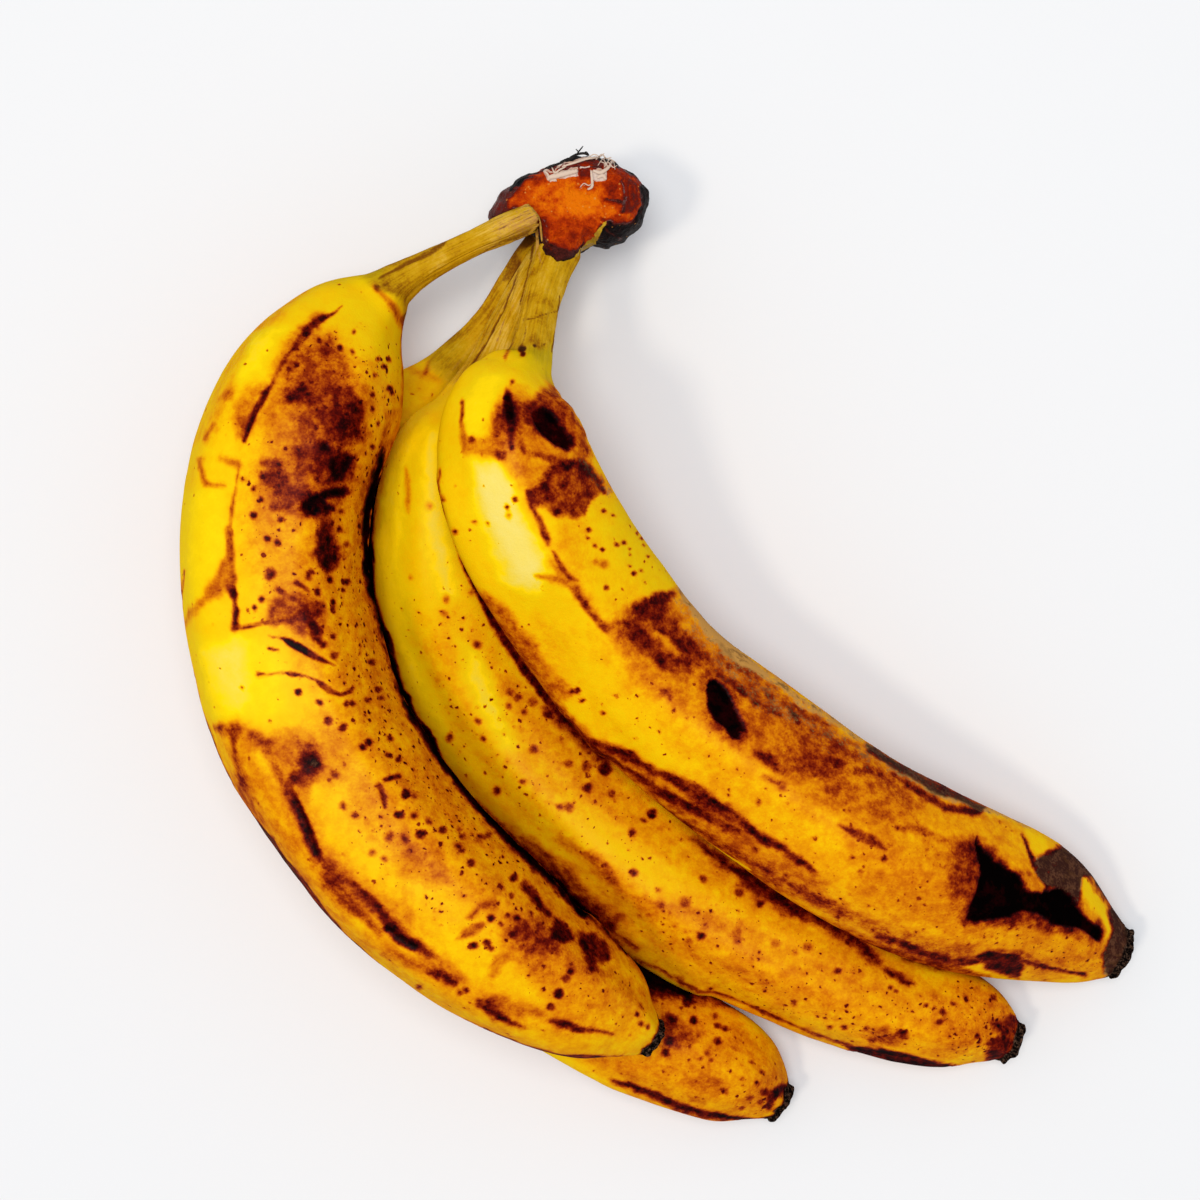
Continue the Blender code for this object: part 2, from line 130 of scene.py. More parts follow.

# How ripe the peel is: -0.2 pale, 0 yellow, 0.3 orange, 0.5 tawny, 0.65 rust, 0.8 maroon, 1 black.
# The same scale also carries painted shade, and levels below 0 mostly paint highlights and lifted
# light.
LEFT_RIPE_AND_LIGHT = (
    patch(0.24, 18, (240, 770), (275, 800), (330, 880), (400, 950), (480, 1000), (560, 1030),
          (650, 1040), (650, 1070), (540, 1065), (420, 1015), (330, 940), (270, 870)),
    patch(0.31, 24, (285, 345), (330, 335), (370, 360), (396, 400), (374, 480), (366, 560),
          (380, 650), (430, 760), (520, 850), (600, 920), (650, 990), (650, 1040), (560, 1045),
          (480, 1020), (400, 960), (350, 900), (290, 830), (255, 750), (300, 735), (330, 700),
          (300, 660), (265, 600), (245, 520), (255, 430)),
    patch(0.35, 16, (355, 420), (378, 440), (368, 520), (372, 590), (392, 670), (430, 740),
          (480, 800), (520, 850), (600, 920), (640, 975), (600, 960), (520, 890), (450, 830),
          (400, 760), (365, 690), (345, 620), (345, 520)),
    streak(0.26, 9, (300, 290, 3), (262, 325, 7), (238, 368, 9), (224, 400, 7), (205, 440, 5)),
    patch(0.07, 12, (330, 290), (370, 292), (392, 330), (396, 360), (370, 350), (345, 330)),
    patch(-0.06, 9, (250, 335), (285, 325), (262, 370), (245, 385), (235, 380)),
    patch(0.0, 5, (182, 490), (224, 490), (225, 530), (222, 560), (200, 600), (184, 612),
          (178, 560)),
    patch(0.02, 6, (205, 606), (226, 600), (229, 626), (200, 628)),
    patch(-0.02, 10, (192, 640), (236, 634), (270, 640), (290, 665), (285, 690), (292, 712),
          (262, 722), (215, 722), (200, 690)),
    # Painted highlight: a pale patch on the lit left side.
    patch(-0.14, 9, (205, 655), (238, 640), (246, 660), (250, 700), (240, 712), (222, 700)),
    patch(0.34, 10, (220, 742), (248, 750), (272, 785), (288, 835), (300, 872), (282, 872),
          (254, 832), (232, 790)),
    patch(0.15, 10, (312, 778), (345, 785), (350, 812), (380, 850), (410, 880), (400, 905),
          (380, 890), (350, 862), (322, 835), (310, 805)),
    patch(0.15, 12, (400, 880), (440, 890), (470, 900), (500, 950), (540, 985), (545, 1010),
          (480, 985), (430, 945)),
    patch(0.42, 9, (300, 336), (332, 333), (348, 365), (366, 392), (364, 440), (352, 460),
          (354, 500), (340, 522), (300, 520), (268, 512), (258, 490), (268, 462), (292, 446),
          (262, 430), (264, 400), (275, 372), (288, 346)),
    patch(0.56, 8, (300, 350), (328, 338), (344, 372), (362, 392), (362, 440), (350, 455),
          (350, 490), (338, 518), (300, 516), (272, 500), (262, 484), (272, 462), (296, 450),
          (304, 430), (284, 410), (278, 388), (286, 366)),
    patch(0.72, 6, (284, 392), (300, 376), (330, 376), (352, 388), (362, 405), (358, 434),
          (342, 440), (328, 432), (318, 422), (322, 408), (300, 404), (284, 402)),
    patch(0.9, 4, (284, 398), (296, 390), (304, 383), (310, 392), (304, 400), (290, 403)),
    patch(0.82, 4, (346, 398), (358, 402), (359, 438), (342, 438), (334, 424), (346, 414)),
    patch(0.74, 6, (296, 446), (318, 440), (334, 446), (350, 456), (348, 480), (330, 486),
          (312, 474), (298, 466)),
    patch(0.76, 6, (262, 462), (282, 462), (290, 478), (312, 486), (322, 496), (300, 500),
          (274, 494), (262, 486)),
    patch(0.99, 4, (320, 438), (328, 440), (332, 450), (322, 448)),
    patch(0.98, 4, (334, 456), (346, 450), (356, 458), (350, 468), (344, 478), (336, 480),
          (331, 470)),
    patch(1.0, 3, (330, 490), (346, 484), (350, 490), (340, 497), (326, 500), (334, 510),
          (326, 518), (306, 517), (300, 509), (303, 500), (318, 492)),
    streak(0.76, 4, (290, 502, 4), (272, 508, 3)),
    streak(0.74, 5, (322, 518, 6), (328, 532, 6)),
    patch(0.88, 5, (318, 530), (330, 528), (340, 540), (343, 556), (336, 568), (325, 571),
          (316, 562), (312, 555), (318, 545)),
    streak(0.48, 6, (318, 322, 6), (300, 340, 9), (285, 362, 6), (262, 395, 5)),
    patch(0.46, 7, (232, 412), (246, 392), (262, 385), (258, 412), (248, 432), (238, 438)),
    streak(0.86, 2, (342, 305, 0.4), (330, 316, 1.2), (318, 321, 3.2), (309, 329, 4),
           (302, 338, 3)),
    streak(0.66, 2, (302, 338, 3), (290, 352, 2), (280, 367, 2), (271, 384, 2.4)),
    streak(0.9, 2, (271, 384, 1.6), (263, 398, 3), (255, 412, 3), (249, 425, 2.4), (244, 440, 1.6)),
    spots(0.52, 4, (228, 396, 5), (201, 460, 2), (243, 480, 2)),
    streak(0.5, 2, (214, 424, 1.5), (208, 433, 1.5), (205, 440, 2)),
    streak(0.46, 4, (220, 458, 3), (236, 464, 5)),
    streak(0.5, 3, (198, 460, 2), (203, 473, 3), (206, 484, 3), (222, 486, 2)),
    streak(0.52, 2, (238, 465, 1.2), (235, 490, 1.5), (231, 515, 1.6), (229, 530, 2)),
    streak(0.6, 3, (227, 528, 3), (229, 545, 4.5), (228, 565, 5), (231, 585, 5), (233, 605, 3),
           (234, 622, 3), (232, 629, 2)),
    streak(0.88, 3, (229, 578, 2), (230, 590, 4), (234, 600, 1.5), (235, 625, 2.5)),
    streak(0.44, 5, (225, 560, 4), (222, 580, 9), (211, 592, 8), (200, 603, 3), (186, 620, 2)),
    streak(0.64, 2, (233, 630, 2.5), (248, 627, 1.5), (262, 623, 1.6), (288, 620, 3)),
    patch(0.55, 5, (268, 600), (290, 590), (322, 600), (326, 616), (318, 640), (300, 636),
          (284, 624), (268, 622)),
    patch(0.8, 4, (276, 621), (292, 616), (304, 608), (312, 602), (324, 606), (324, 614),
          (308, 622), (286, 624)),
    streak(0.72, 2, (279, 589, 2.5), (292, 598, 1.5), (302, 604, 2)),
    streak(0.74, 2, (296, 582, 2.2), (308, 591, 1.5)),
    streak(0.9, 3, (313, 625, 3), (315, 638, 4), (323, 645, 3)),
    streak(0.92, 1.6, (270, 636, 0.6), (282, 638, 0.9), (290, 643, 3.5), (300, 648, 3.5),
           (312, 655, 3.5), (322, 660, 2), (334, 665, 0.8)),
    streak(0.82, 1.6, (268, 648, 2), (278, 650, 0.8)),
    streak(0.76, 1.6, (258, 675, 2.2), (266, 675, 0.6), (285, 672, 0.9), (292, 674, 2.5),
           (305, 676, 1.2), (316, 680, 1), (323, 685, 3.5), (332, 692, 3), (340, 695, 1.5),
           (350, 691, 2), (352, 688, 1)),
    patch(0.42, 9, (215, 726), (232, 722), (262, 732), (300, 730), (322, 745), (326, 775),
          (300, 800), (285, 770), (262, 755), (240, 745), (222, 738)),
    streak(0.66, 4, (216, 728, 2), (236, 731, 5), (233, 745, 2), (238, 765, 3), (245, 785, 5),
           (252, 802, 4), (262, 822, 3)),
    streak(0.64, 5, (255, 735, 3), (264, 742, 6), (270, 760, 4), (280, 778, 5), (288, 792, 5)),
    patch(0.36, 11, (246, 795), (278, 795), (292, 830), (302, 860), (318, 890), (350, 930),
          (380, 950), (350, 940), (310, 900), (272, 850)),
    patch(0.62, 6, (296, 738), (314, 740), (322, 756), (318, 775), (306, 790), (294, 775)),
    patch(0.94, 4, (302, 750), (314, 752), (320, 765), (314, 776), (303, 772), (298, 762)),
    streak(0.78, 4, (296, 772, 4), (289, 785, 5), (295, 805, 6), (303, 825, 6), (312, 845, 6),
           (318, 860, 5)),
    streak(0.97, 3, (291, 790, 2), (300, 812, 4), (308, 832, 5), (315, 852, 3.5)),
    patch(0.58, 7, (320, 850), (345, 868), (370, 893), (384, 914), (366, 912), (346, 915),
          (330, 892), (320, 870)),
    patch(0.8, 6, (326, 866), (342, 874), (340, 890), (328, 888)),
    streak(0.82, 4, (348, 882, 3), (365, 895, 5), (380, 910, 5), (392, 926, 6), (405, 938, 7),
           (420, 948, 5), (434, 960, 2)),
    streak(0.98, 3, (388, 930, 4), (402, 940, 5), (414, 946, 3)),
    streak(0.6, 4, (350, 908, 4), (364, 918, 4), (380, 934, 3)),
    streak(0.5, 6, (385, 950, 4), (410, 962, 6), (440, 968, 5), (465, 978, 4)),
    streak(0.8, 4, (428, 972, 2), (440, 976, 4), (455, 983, 3)),
    spots(0.84, 2, (466, 990, 3.5), (460, 993, 3), (419, 987, 2.5)),
    streak(0.5, 6, (490, 1002, 5), (520, 1008, 5), (560, 1022, 5)),
    streak(0.76, 4, (478, 1004, 3), (490, 1009, 6), (502, 1016, 4), (520, 1028, 3)),
    streak(0.8, 3, (550, 1022, 2), (565, 1025, 3.5), (580, 1030, 4), (600, 1032, 2.4),
           (612, 1034, 1)),
    patch(0.44, 12, (400, 838), (440, 842), (450, 880), (430, 885), (405, 870)),
    patch(0.46, 12, (500, 915), (555, 900), (610, 950), (605, 990), (560, 990), (528, 962),
          (500, 950)),
    patch(0.36, 10, (570, 975), (640, 985), (650, 1010), (600, 1015), (565, 1005)),
    patch(0.66, 6, (510, 925), (530, 918), (552, 935), (560, 952), (530, 950), (510, 940)),
    streak(0.82, 3, (524, 884, 3.5), (533, 896, 5), (540, 907, 4), (548, 914, 3)),
    patch(0.92, 3, (556, 917), (564, 922), (574, 939), (565, 944), (552, 938), (550, 929)),
    patch(0.88, 3, (580, 930), (592, 936), (602, 948), (609, 961), (602, 964), (594, 956),
          (597, 970), (590, 973), (586, 956), (580, 942)),
    streak(0.52, 3, (456, 939, 2), (468, 933, 4.5), (480, 925, 3.5)),
    streak(0.55, 4, (466, 917, 2), (480, 906, 4), (492, 906, 4)),
    streak(0.46, 4, (491, 976, 4), (496, 963, 5), (506, 955, 4), (524, 960, 2), (545, 972, 2)),
    spots(0.82, 2, (490, 918, 4), (500, 923, 2.5), (474, 945, 3.5), (486, 943, 4), (490, 949, 3),
          (513, 935, 4), (508, 915, 3), (518, 917, 3), (566, 979, 4), (571, 972, 3), (551, 1006, 4),
          (514, 878, 4), (513, 896, 2.6), (641, 1024, 3), (648, 1026, 2.5), (636, 1015, 2)),
    spots(0.95, 2, (559, 993, 5)),
    spots(0.88, 2, (405, 793, 5), (399, 815, 4.5), (443, 829, 4), (420, 834, 4.5), (472, 864, 4.2),
          (354, 332, 1.8), (341, 348, 3), (353, 352, 2.4), (379, 360, 2), (389, 360, 2),
          (385, 367, 2), (375, 375, 2.2), (390, 388, 3), (392, 393, 2), (372, 394, 3),
          (373, 409, 2.4), (360, 404, 2), (318, 340, 2.6), (378, 423, 2.2), (253, 489, 2.4),
          (261, 500, 2), (254, 515, 3.4), (281, 519, 3.4), (342, 512, 2.4), (372, 447, 3)),
    spots(0.84, 2, (267, 539, 3), (277, 543, 2.4), (310, 573, 4), (308, 578, 3), (330, 579, 3),
          (317, 592, 3.4), (261, 599, 3.2), (254, 607, 2.4), (333, 603, 3), (333, 610, 3),
          (334, 655, 4.4), (333, 636, 3), (340, 530, 3), (347, 545, 3), (349, 582, 3.4),
          (344, 590, 2.2), (298, 693, 3.4), (319, 703, 3.4), (328, 720, 4.4), (343, 727, 4),
          (370, 742, 3.4), (364, 747, 3), (391, 738, 3), (388, 755, 3), (398, 759, 3),
          (307, 745, 3), (242, 687, 1.6), (371, 662, 3), (367, 700, 3), (345, 704, 3),
          (352, 704, 3), (379, 690, 3), (382, 697, 3)),
    spots(0.74, 3, (270, 574, 6), (335, 773, 4), (414, 796, 3), (414, 816, 3.5), (428, 819, 3),
          (388, 836, 4.4), (405, 838, 3), (458, 846, 3.5), (461, 852, 3.5), (460, 829, 3),
          (463, 836, 3), (480, 838, 3.5), (486, 836, 3), (372, 853, 3), (384, 858, 3),
          (355, 815, 3), (342, 805, 4)),
    streak(0.82, 2, (380, 785, 3), (384, 797, 3), (385, 806, 2)),
    streak(0.78, 2, (386, 779, 2), (398, 776, 2.5)),
    streak(0.8, 2, (402, 320, 2.4), (412, 307, 1.6), (440, 286, 1.6), (470, 266, 1.8),
           (500, 250, 2), (518, 243, 3)),
    streak(0.62, 3, (470, 262, 2), (500, 244, 3), (525, 232, 4)),
    streak(0.66, 2, (448, 238, 2), (440, 246, 3), (430, 252, 3.6), (418, 258, 3.6), (405, 265, 3),
           (390, 273, 2), (380, 278, 1.4)),
    spots(0.78, 3, (378, 287, 4.5), (385, 284, 2)),
    streak(0.52, 4, (380, 290, 2), (389, 299, 2.5), (397, 312, 3.5), (402, 326, 3)),
    streak(0.86, 2, (252, 820, 3), (262, 832, 4.4), (270, 840, 4.4), (278, 853, 3.4),
           (293, 874, 3.4), (310, 900, 3.4), (322, 912, 4), (333, 923, 4), (340, 929, 2)),
    # Painted shade: a thin dark line along the left and lower edge, where the peel turns under.
    streak(0.8, 1.6, (184, 570, 0.8), (180, 610, 0.8), (187, 655, 1.6), (200, 705, 1.6),
           (213, 742, 2), (225, 768, 1.4), (240, 800, 1), (340, 930, 1.6), (400, 985, 1.4),
           (440, 1010, 1.6), (480, 1030, 2), (520, 1046, 2), (560, 1056, 2), (640, 1058, 2)),
)
LEFT_FRECKLES = (
    patch(0.76, 10, (300, 330), (360, 330), (395, 345), (398, 400), (372, 480), (364, 560),
          (378, 640), (410, 715), (470, 800), (560, 890), (500, 900), (440, 880), (390, 860),
          (360, 780), (330, 700), (322, 640), (240, 560), (240, 470), (270, 420)),
    patch(1.3, 9, (362, 350), (395, 360), (397, 400), (372, 480), (364, 560), (378, 640),
          (410, 715), (470, 800), (540, 870), (500, 870), (430, 820), (380, 760), (350, 690),
          (345, 600), (352, 500), (368, 420)),
    patch(0.72, 12, (330, 780), (470, 860), (600, 930), (645, 1000), (600, 1030), (480, 960),
          (380, 880)),
    patch(0.9, 10, (600, 975), (645, 985), (655, 1020), (620, 1030), (600, 1000)),
)
LEFT_GREY = (
    patch(0.66, 20, (492, 222), (518, 204), (530, 198), (550, 220), (540, 238), (512, 236),
          (496, 240)),
    streak(0.52, 5, (252, 820, 3), (262, 832, 4.4), (270, 840, 4.4), (278, 853, 3.4), (293, 874, 3),
           (310, 900, 3), (322, 912, 4), (333, 923, 4), (340, 929, 2)),
    spots(0.5, 3, (312, 764, 4)),
)
LEFT_FIBROUS = (
    patch(1.0, 10, (470, 222), (500, 205), (530, 200), (545, 225), (525, 245), (490, 255)),
)
LEFT_GREEN = (
    streak(0.8, 8, (380, 272, 6), (350, 277, 5), (310, 284, 3)),
    streak(0.3, 6, (340, 928, 3), (375, 956, 7), (420, 985, 8), (470, 1012, 7), (520, 1034, 8),
           (580, 1046, 9), (640, 1050, 8)),
)
LEFT_SWELL = (
    streak(2.4, 14, (590, 920, 4), (614, 944, 8), (634, 966, 6), (650, 985, 2)),
    streak(1.15, 16, (378, 560, 0), (381, 612, 8), (392, 650, 10), (426, 728, 10), (474, 800, 10),
           (545, 872, 10), (600, 918, 4)),
)

# Painted shade: the crevice between the left finger and the next one, painted dark to black on the
# skins beside it.
CREVICE_SHADE = (
    streak(0.62, 8, (392, 414, 1), (384, 440, 3), (377, 470, 6), (371, 500, 7), (368, 540, 7)),
    streak(1.12, 3, (382, 448, 0.6), (378, 470, 3), (371, 500, 5), (368, 530, 5), (368, 560, 6),
           (372, 590, 6.5), (379, 612, 6), (388, 648, 6.4), (402, 690, 6.4), (421, 728, 6.6),
           (441, 760, 6.4), (470, 800, 6), (506, 840, 5.6), (540, 872, 6), (575, 901, 6.6),
           (602, 928, 6), (624, 950, 7), (652, 973, 7), (690, 992, 4)),
)

# Painted contact shadow along the line where the right finger lies on the middle one.
SEAM_SHADOW = (
    streak(0.88, 2.6, (441, 470, 0.6), (446, 500, 1), (452, 528, 1.4), (459, 551, 2.2),
           (466, 570, 2.4), (476, 590, 2.8), (488, 612, 4), (499, 630, 4), (512, 650, 4.6),
           (526, 672, 4.6), (542, 692, 5), (557, 710, 4.6), (574, 730, 3.6), (590, 746, 3),
           (604, 758, 2)),
)

UNDER_RIPE_AND_LIGHT = (
    patch(0.36, 16, (560, 1040), (650, 990), (720, 1000), (790, 1060), (800, 1110), (740, 1135),
          (640, 1110)),
    patch(0.16, 12, (395, 366), (440, 340), (480, 365), (440, 400), (400, 432), (385, 440)),
    patch(0.55, 9, (355, 425), (402, 430), (398, 480), (370, 500), (350, 480)),
    # Painted shade: the under finger, seen in the gap between the left and middle fingers and under
    # the left finger's tip, is painted dark to black.
    patch(0.88, 9, (350, 455), (400, 455), (392, 560), (415, 670), (470, 760), (560, 860),
          (660, 940), (700, 975), (640, 990), (560, 900), (460, 800), (385, 700), (350, 560)),
    patch(1.0, 10, (440, 760), (560, 860), (660, 940), (700, 975), (640, 985), (560, 900),
          (450, 790)),
    patch(0.8, 7, (640, 962), (700, 985), (750, 1012), (730, 1012), (690, 998), (655, 998)),
    patch(1.1, 8, (600, 915), (640, 950), (700, 982), (694, 990), (655, 985), (640, 978),
          (610, 935)),
    STALK_HOLLOW_SHADE,
    patch(0.62, 6, (660, 1020), (672, 1012), (682, 1022), (696, 1035), (690, 1046), (672, 1046),
          (660, 1054)),
    streak(0.5, 6, (690, 1080, 4), (714, 1082, 5), (726, 1088, 4)),
    streak(0.42, 6, (735, 1035, 3), (752, 1052, 4), (760, 1070, 3)),
    spots(0.88, 2, (688, 1001, 5.5), (672, 1018, 5), (694, 1020, 4), (717, 1026, 3),
          (725, 1029, 3.5), (717, 1041, 3.8), (669, 1040, 5), (715, 1017, 2.4), (666, 1052, 4)),
    spots(0.72, 2, (708, 1052, 2.4), (711, 1059, 2), (735, 1048, 2), (751, 1062, 2),
          (762, 1072, 2.4), (724, 1090, 2.4), (700, 1058, 2), (742, 1078, 2), (757, 1084, 3),
          (765, 1092, 4), (750, 1098, 3), (760, 1102, 3), (742, 1108, 2)),
    # Painted shade: a dark line along the lower edge near the tip.
    streak(0.92, 3, (612, 1080, 1.4), (640, 1090, 3), (660, 1099, 4.4), (680, 1107, 4.4),
           (700, 1113, 3), (740, 1119, 2.4), (765, 1121, 2)),
    streak(0.9, 3, (768, 1108, 3), (772, 1098, 4), (782, 1090, 5)),
    streak(0.36, 4, (404, 366, 2), (425, 376, 4), (440, 382, 2)),
    streak(0.5, 2, (500, 292, 1.6), (478, 318, 2), (455, 340, 1.6), (438, 352, 1.4), (424, 372, 3)),
    streak(0.48, 2, (492, 300, 1), (470, 332, 1), (452, 352, 1.4)),
    patch(0.66, 10, (508, 236), (530, 232), (524, 262), (513, 284), (500, 290), (504, 266)),
    streak(0.76, 2, (520, 262, 2), (511, 284, 2), (502, 302, 2), (492, 322, 2), (484, 340, 2),
           (474, 360, 2.4), (456, 380, 2.4), (446, 390, 1.4)),
)
UNDER_FRECKLES = (
    patch(0.5, 12, (620, 1000), (700, 990), (770, 1040), (785, 1090), (740, 1120), (640, 1090)),
    patch(0.9, 8, (735, 1070), (782, 1070), (790, 1095), (760, 1120), (730, 1110)),
)
UNDER_GREEN = (
    patch(0.4, 10, (395, 366), (460, 330), (480, 365), (450, 395), (420, 430), (392, 445)),
    streak(0.3, 8, (600, 1070, 4), (640, 1082, 6), (680, 1096, 5), (730, 1108, 4)),
)

MIDDLE_RIPE_AND_LIGHT = (
    STALK_HOLLOW_SHADE,
    streak(0.7, 2, (533, 228, 3), (535, 240, 2), (531, 262, 1.4), (525, 285, 1.4), (520, 305, 1.2)),
    streak(0.74, 1.6, (521, 268, 1), (512, 290, 1), (503, 310, 1.2), (494, 330, 1.2),
           (482, 350, 1.4), (472, 366, 2), (458, 382, 1.6)),
    streak(0.52, 1.4, (524, 256, 1), (517, 284, 1), (508, 310, 1.2), (500, 334, 1.2),
           (492, 352, 1)),
    patch(0.2, 30, (380, 640), (470, 600), (560, 720), (700, 840), (850, 930), (1010, 980),
          (1030, 1050), (900, 1070), (700, 1000), (560, 890), (440, 760)),
    patch(0.31, 20, (560, 860), (660, 900), (800, 950), (900, 970), (1010, 985), (1030, 1060),
          (880, 1070), (740, 1020), (640, 960), (580, 905)),
    patch(0.46, 8, (488, 822), (530, 852), (590, 900), (640, 945), (620, 942), (560, 902),
          (508, 860)),
    # Painted light: the left flank, which the left finger shades, is lifted to a brighter yellow;
    # the two pale strips after it are painted highlights.
    patch(-0.05, 12, (380, 480), (400, 440), (424, 420), (410, 480), (402, 560), (412, 640),
          (436, 710), (470, 770), (456, 776), (416, 712), (388, 640), (376, 560)),
    patch(-0.14, 12, (426, 430), (437, 430), (440, 500), (448, 560), (456, 600), (442, 600),
          (430, 560), (424, 500)),
    patch(-0.11, 14, (462, 640), (480, 660), (500, 700), (520, 740), (506, 746), (480, 710),
          (464, 680)),
    patch(0.1, 12, (560, 820), (590, 815), (660, 862), (690, 890), (640, 880), (590, 850)),
    patch(0.34, 12, (500, 680), (530, 688), (565, 730), (610, 768), (660, 812), (720, 850),
          (800, 895), (870, 935), (930, 965), (900, 985), (830, 955), (760, 915), (700, 875),
          (640, 835), (590, 800), (548, 765), (516, 728)),
    streak(0.38, 3, (407, 468, 1.2), (409, 490, 3), (408, 512, 2)),
    spots(0.4, 4, (430, 507, 4)),
    spots(0.58, 3, (446, 600, 3.6), (443, 613, 3), (477, 645, 4.6), (412, 578, 1.8),
          (471, 593, 2.4)),
    streak(0.66, 5, (546, 710, 4), (575, 735, 6), (592, 750, 6), (604, 768, 6)),
    # Painted shadow: a dark maroon band where the right finger's lower edge shades the middle one.
    streak(0.84, 6, (690, 838, 3), (715, 855, 5), (740, 872, 7), (765, 889, 9), (790, 904, 10),
           (820, 920, 9), (845, 932, 7), (864, 948, 7), (876, 962, 4)),
    streak(0.8, 4, (886, 970, 3), (900, 977, 4), (914, 985, 2)),
    streak(0.78, 5, (905, 955, 4), (940, 962, 6), (975, 968, 5), (1000, 978, 3)),
    streak(0.56, 6, (495, 822, 2), (520, 838, 6), (545, 858, 9), (570, 880, 8), (600, 905, 5),
           (618, 917, 3)),
    streak(0.5, 6, (560, 836, 3), (585, 855, 5), (606, 875, 5), (626, 893, 3), (662, 906, 2)),
    streak(0.78, 4, (505, 836, 2), (528, 854, 5), (550, 873, 5), (575, 895, 4), (600, 912, 5),
           (614, 922, 3)),
    streak(0.42, 8, (640, 905, 5), (700, 918, 7), (760, 935, 5)),
    streak(0.4, 7, (690, 955, 5), (740, 972, 7), (780, 985, 7), (830, 1000, 5)),
    patch(0.62, 5, (866, 1030), (885, 1028), (906, 1034), (900, 1041), (880, 1046), (868, 1043)),
    patch(0.42, 10, (930, 990), (1000, 985), (1010, 1010), (990, 1050), (940, 1055)),
    spots(0.72, 2.4, (510, 693, 3.6), (517, 698, 3.6), (532, 703, 5), (524, 712, 3), (508, 706, 3),
          (534, 749, 4.6), (497, 790, 4), (568, 764, 4), (586, 767, 5), (586, 788, 5),
          (568, 807, 4.6), (560, 806, 3), (478, 721, 3), (484, 738, 2.8), (450, 737, 4),
          (522, 782, 3), (604, 866, 2.8), (633, 873, 4), (739, 893, 5), (704, 879, 4),
          (793, 1002, 3), (765, 990, 2), (611, 793, 4)),
    spots(0.88, 2.4, (603, 770, 6), (633, 832, 3.6), (652, 813, 5), (645, 821, 2.4),
          (701, 937, 3.6), (837, 970, 3.4), (760, 903, 3.6), (549, 715, 4)),
    spots(0.6, 3, (660, 905, 4), (686, 902, 5), (737, 936, 6), (775, 944, 4), (795, 953, 3),
          (808, 948, 4), (688, 942, 3), (685, 932, 2), (705, 927, 2.6), (675, 925, 2.4),
          (640, 916, 2), (648, 916, 2), (658, 890, 2)),
    spots(0.8, 2, (905, 1034, 4), (844, 1027, 3), (830, 1026, 2.4), (926, 1005, 2.2),
          (940, 1022, 3), (944, 1011, 3), (953, 1003, 2), (978, 1037, 2.6), (890, 988, 2.4),
          (896, 992, 2), (995, 997, 3), (865, 1028, 2)),
    patch(0.95, 3, (846, 1048), (872, 1048), (905, 1053), (932, 1063), (962, 1067), (1000, 1064),
          (1004, 1078), (950, 1078), (890, 1070), (852, 1058)),
    patch(0.82, 4, (990, 1024), (1006, 1016), (1024, 1012), (1024, 1040), (1008, 1064), (984, 1064),
          (990, 1045), (1000, 1034)),
    # Painted shade: thin dark lines along the lower edge and along the crevice.
    streak(0.7, 1.6, (640, 952, 1), (700, 985, 1.4), (780, 1020, 1.6), (850, 1046, 1.6)),
    streak(0.72, 2, (478, 796, 0.6), (520, 842, 1), (580, 898, 1), (640, 946, 1)),
)
MIDDLE_FRECKLES = (
    patch(0.6, 14, (400, 600), (460, 560), (560, 700), (700, 830), (620, 900), (500, 800),
          (400, 680)),
    patch(0.7, 12, (620, 880), (760, 910), (900, 980), (1010, 980), (1020, 1060), (880, 1060),
          (740, 1010), (640, 950)),
    patch(1.0, 8, (940, 985), (1012, 985), (1022, 1020), (1000, 1062), (950, 1062)),
    patch(0.7, 8, (500, 685), (530, 690), (570, 740), (550, 750), (510, 720)),
)
MIDDLE_SWELL = (
    streak(2.4, 14, (590, 912, 2), (620, 940, 10), (665, 972, 9), (700, 988, 5)),
    streak(1.15, 16, (378, 540, 0), (380, 600, 8), (395, 660, 10), (434, 740, 10), (494, 820, 10),
           (576, 900, 10), (600, 920, 4)),
)
MIDDLE_GREY = (
    streak(0.5, 2, (526, 242, 1.6), (523, 262, 1), (514, 284, 1), (503, 306, 1), (492, 328, 1),
           (480, 348, 1)),
    streak(0.42, 2, (516, 298, 1.4), (504, 322, 2), (496, 344, 1.6)),
)
MIDDLE_GREEN = (
    streak(0.5, 7, (640, 945, 3), (700, 978, 5), (780, 1012, 5), (850, 1040, 4)),
    streak(0.6, 8, (404, 429, 3), (424, 412, 3), (454, 388, 4)),
)

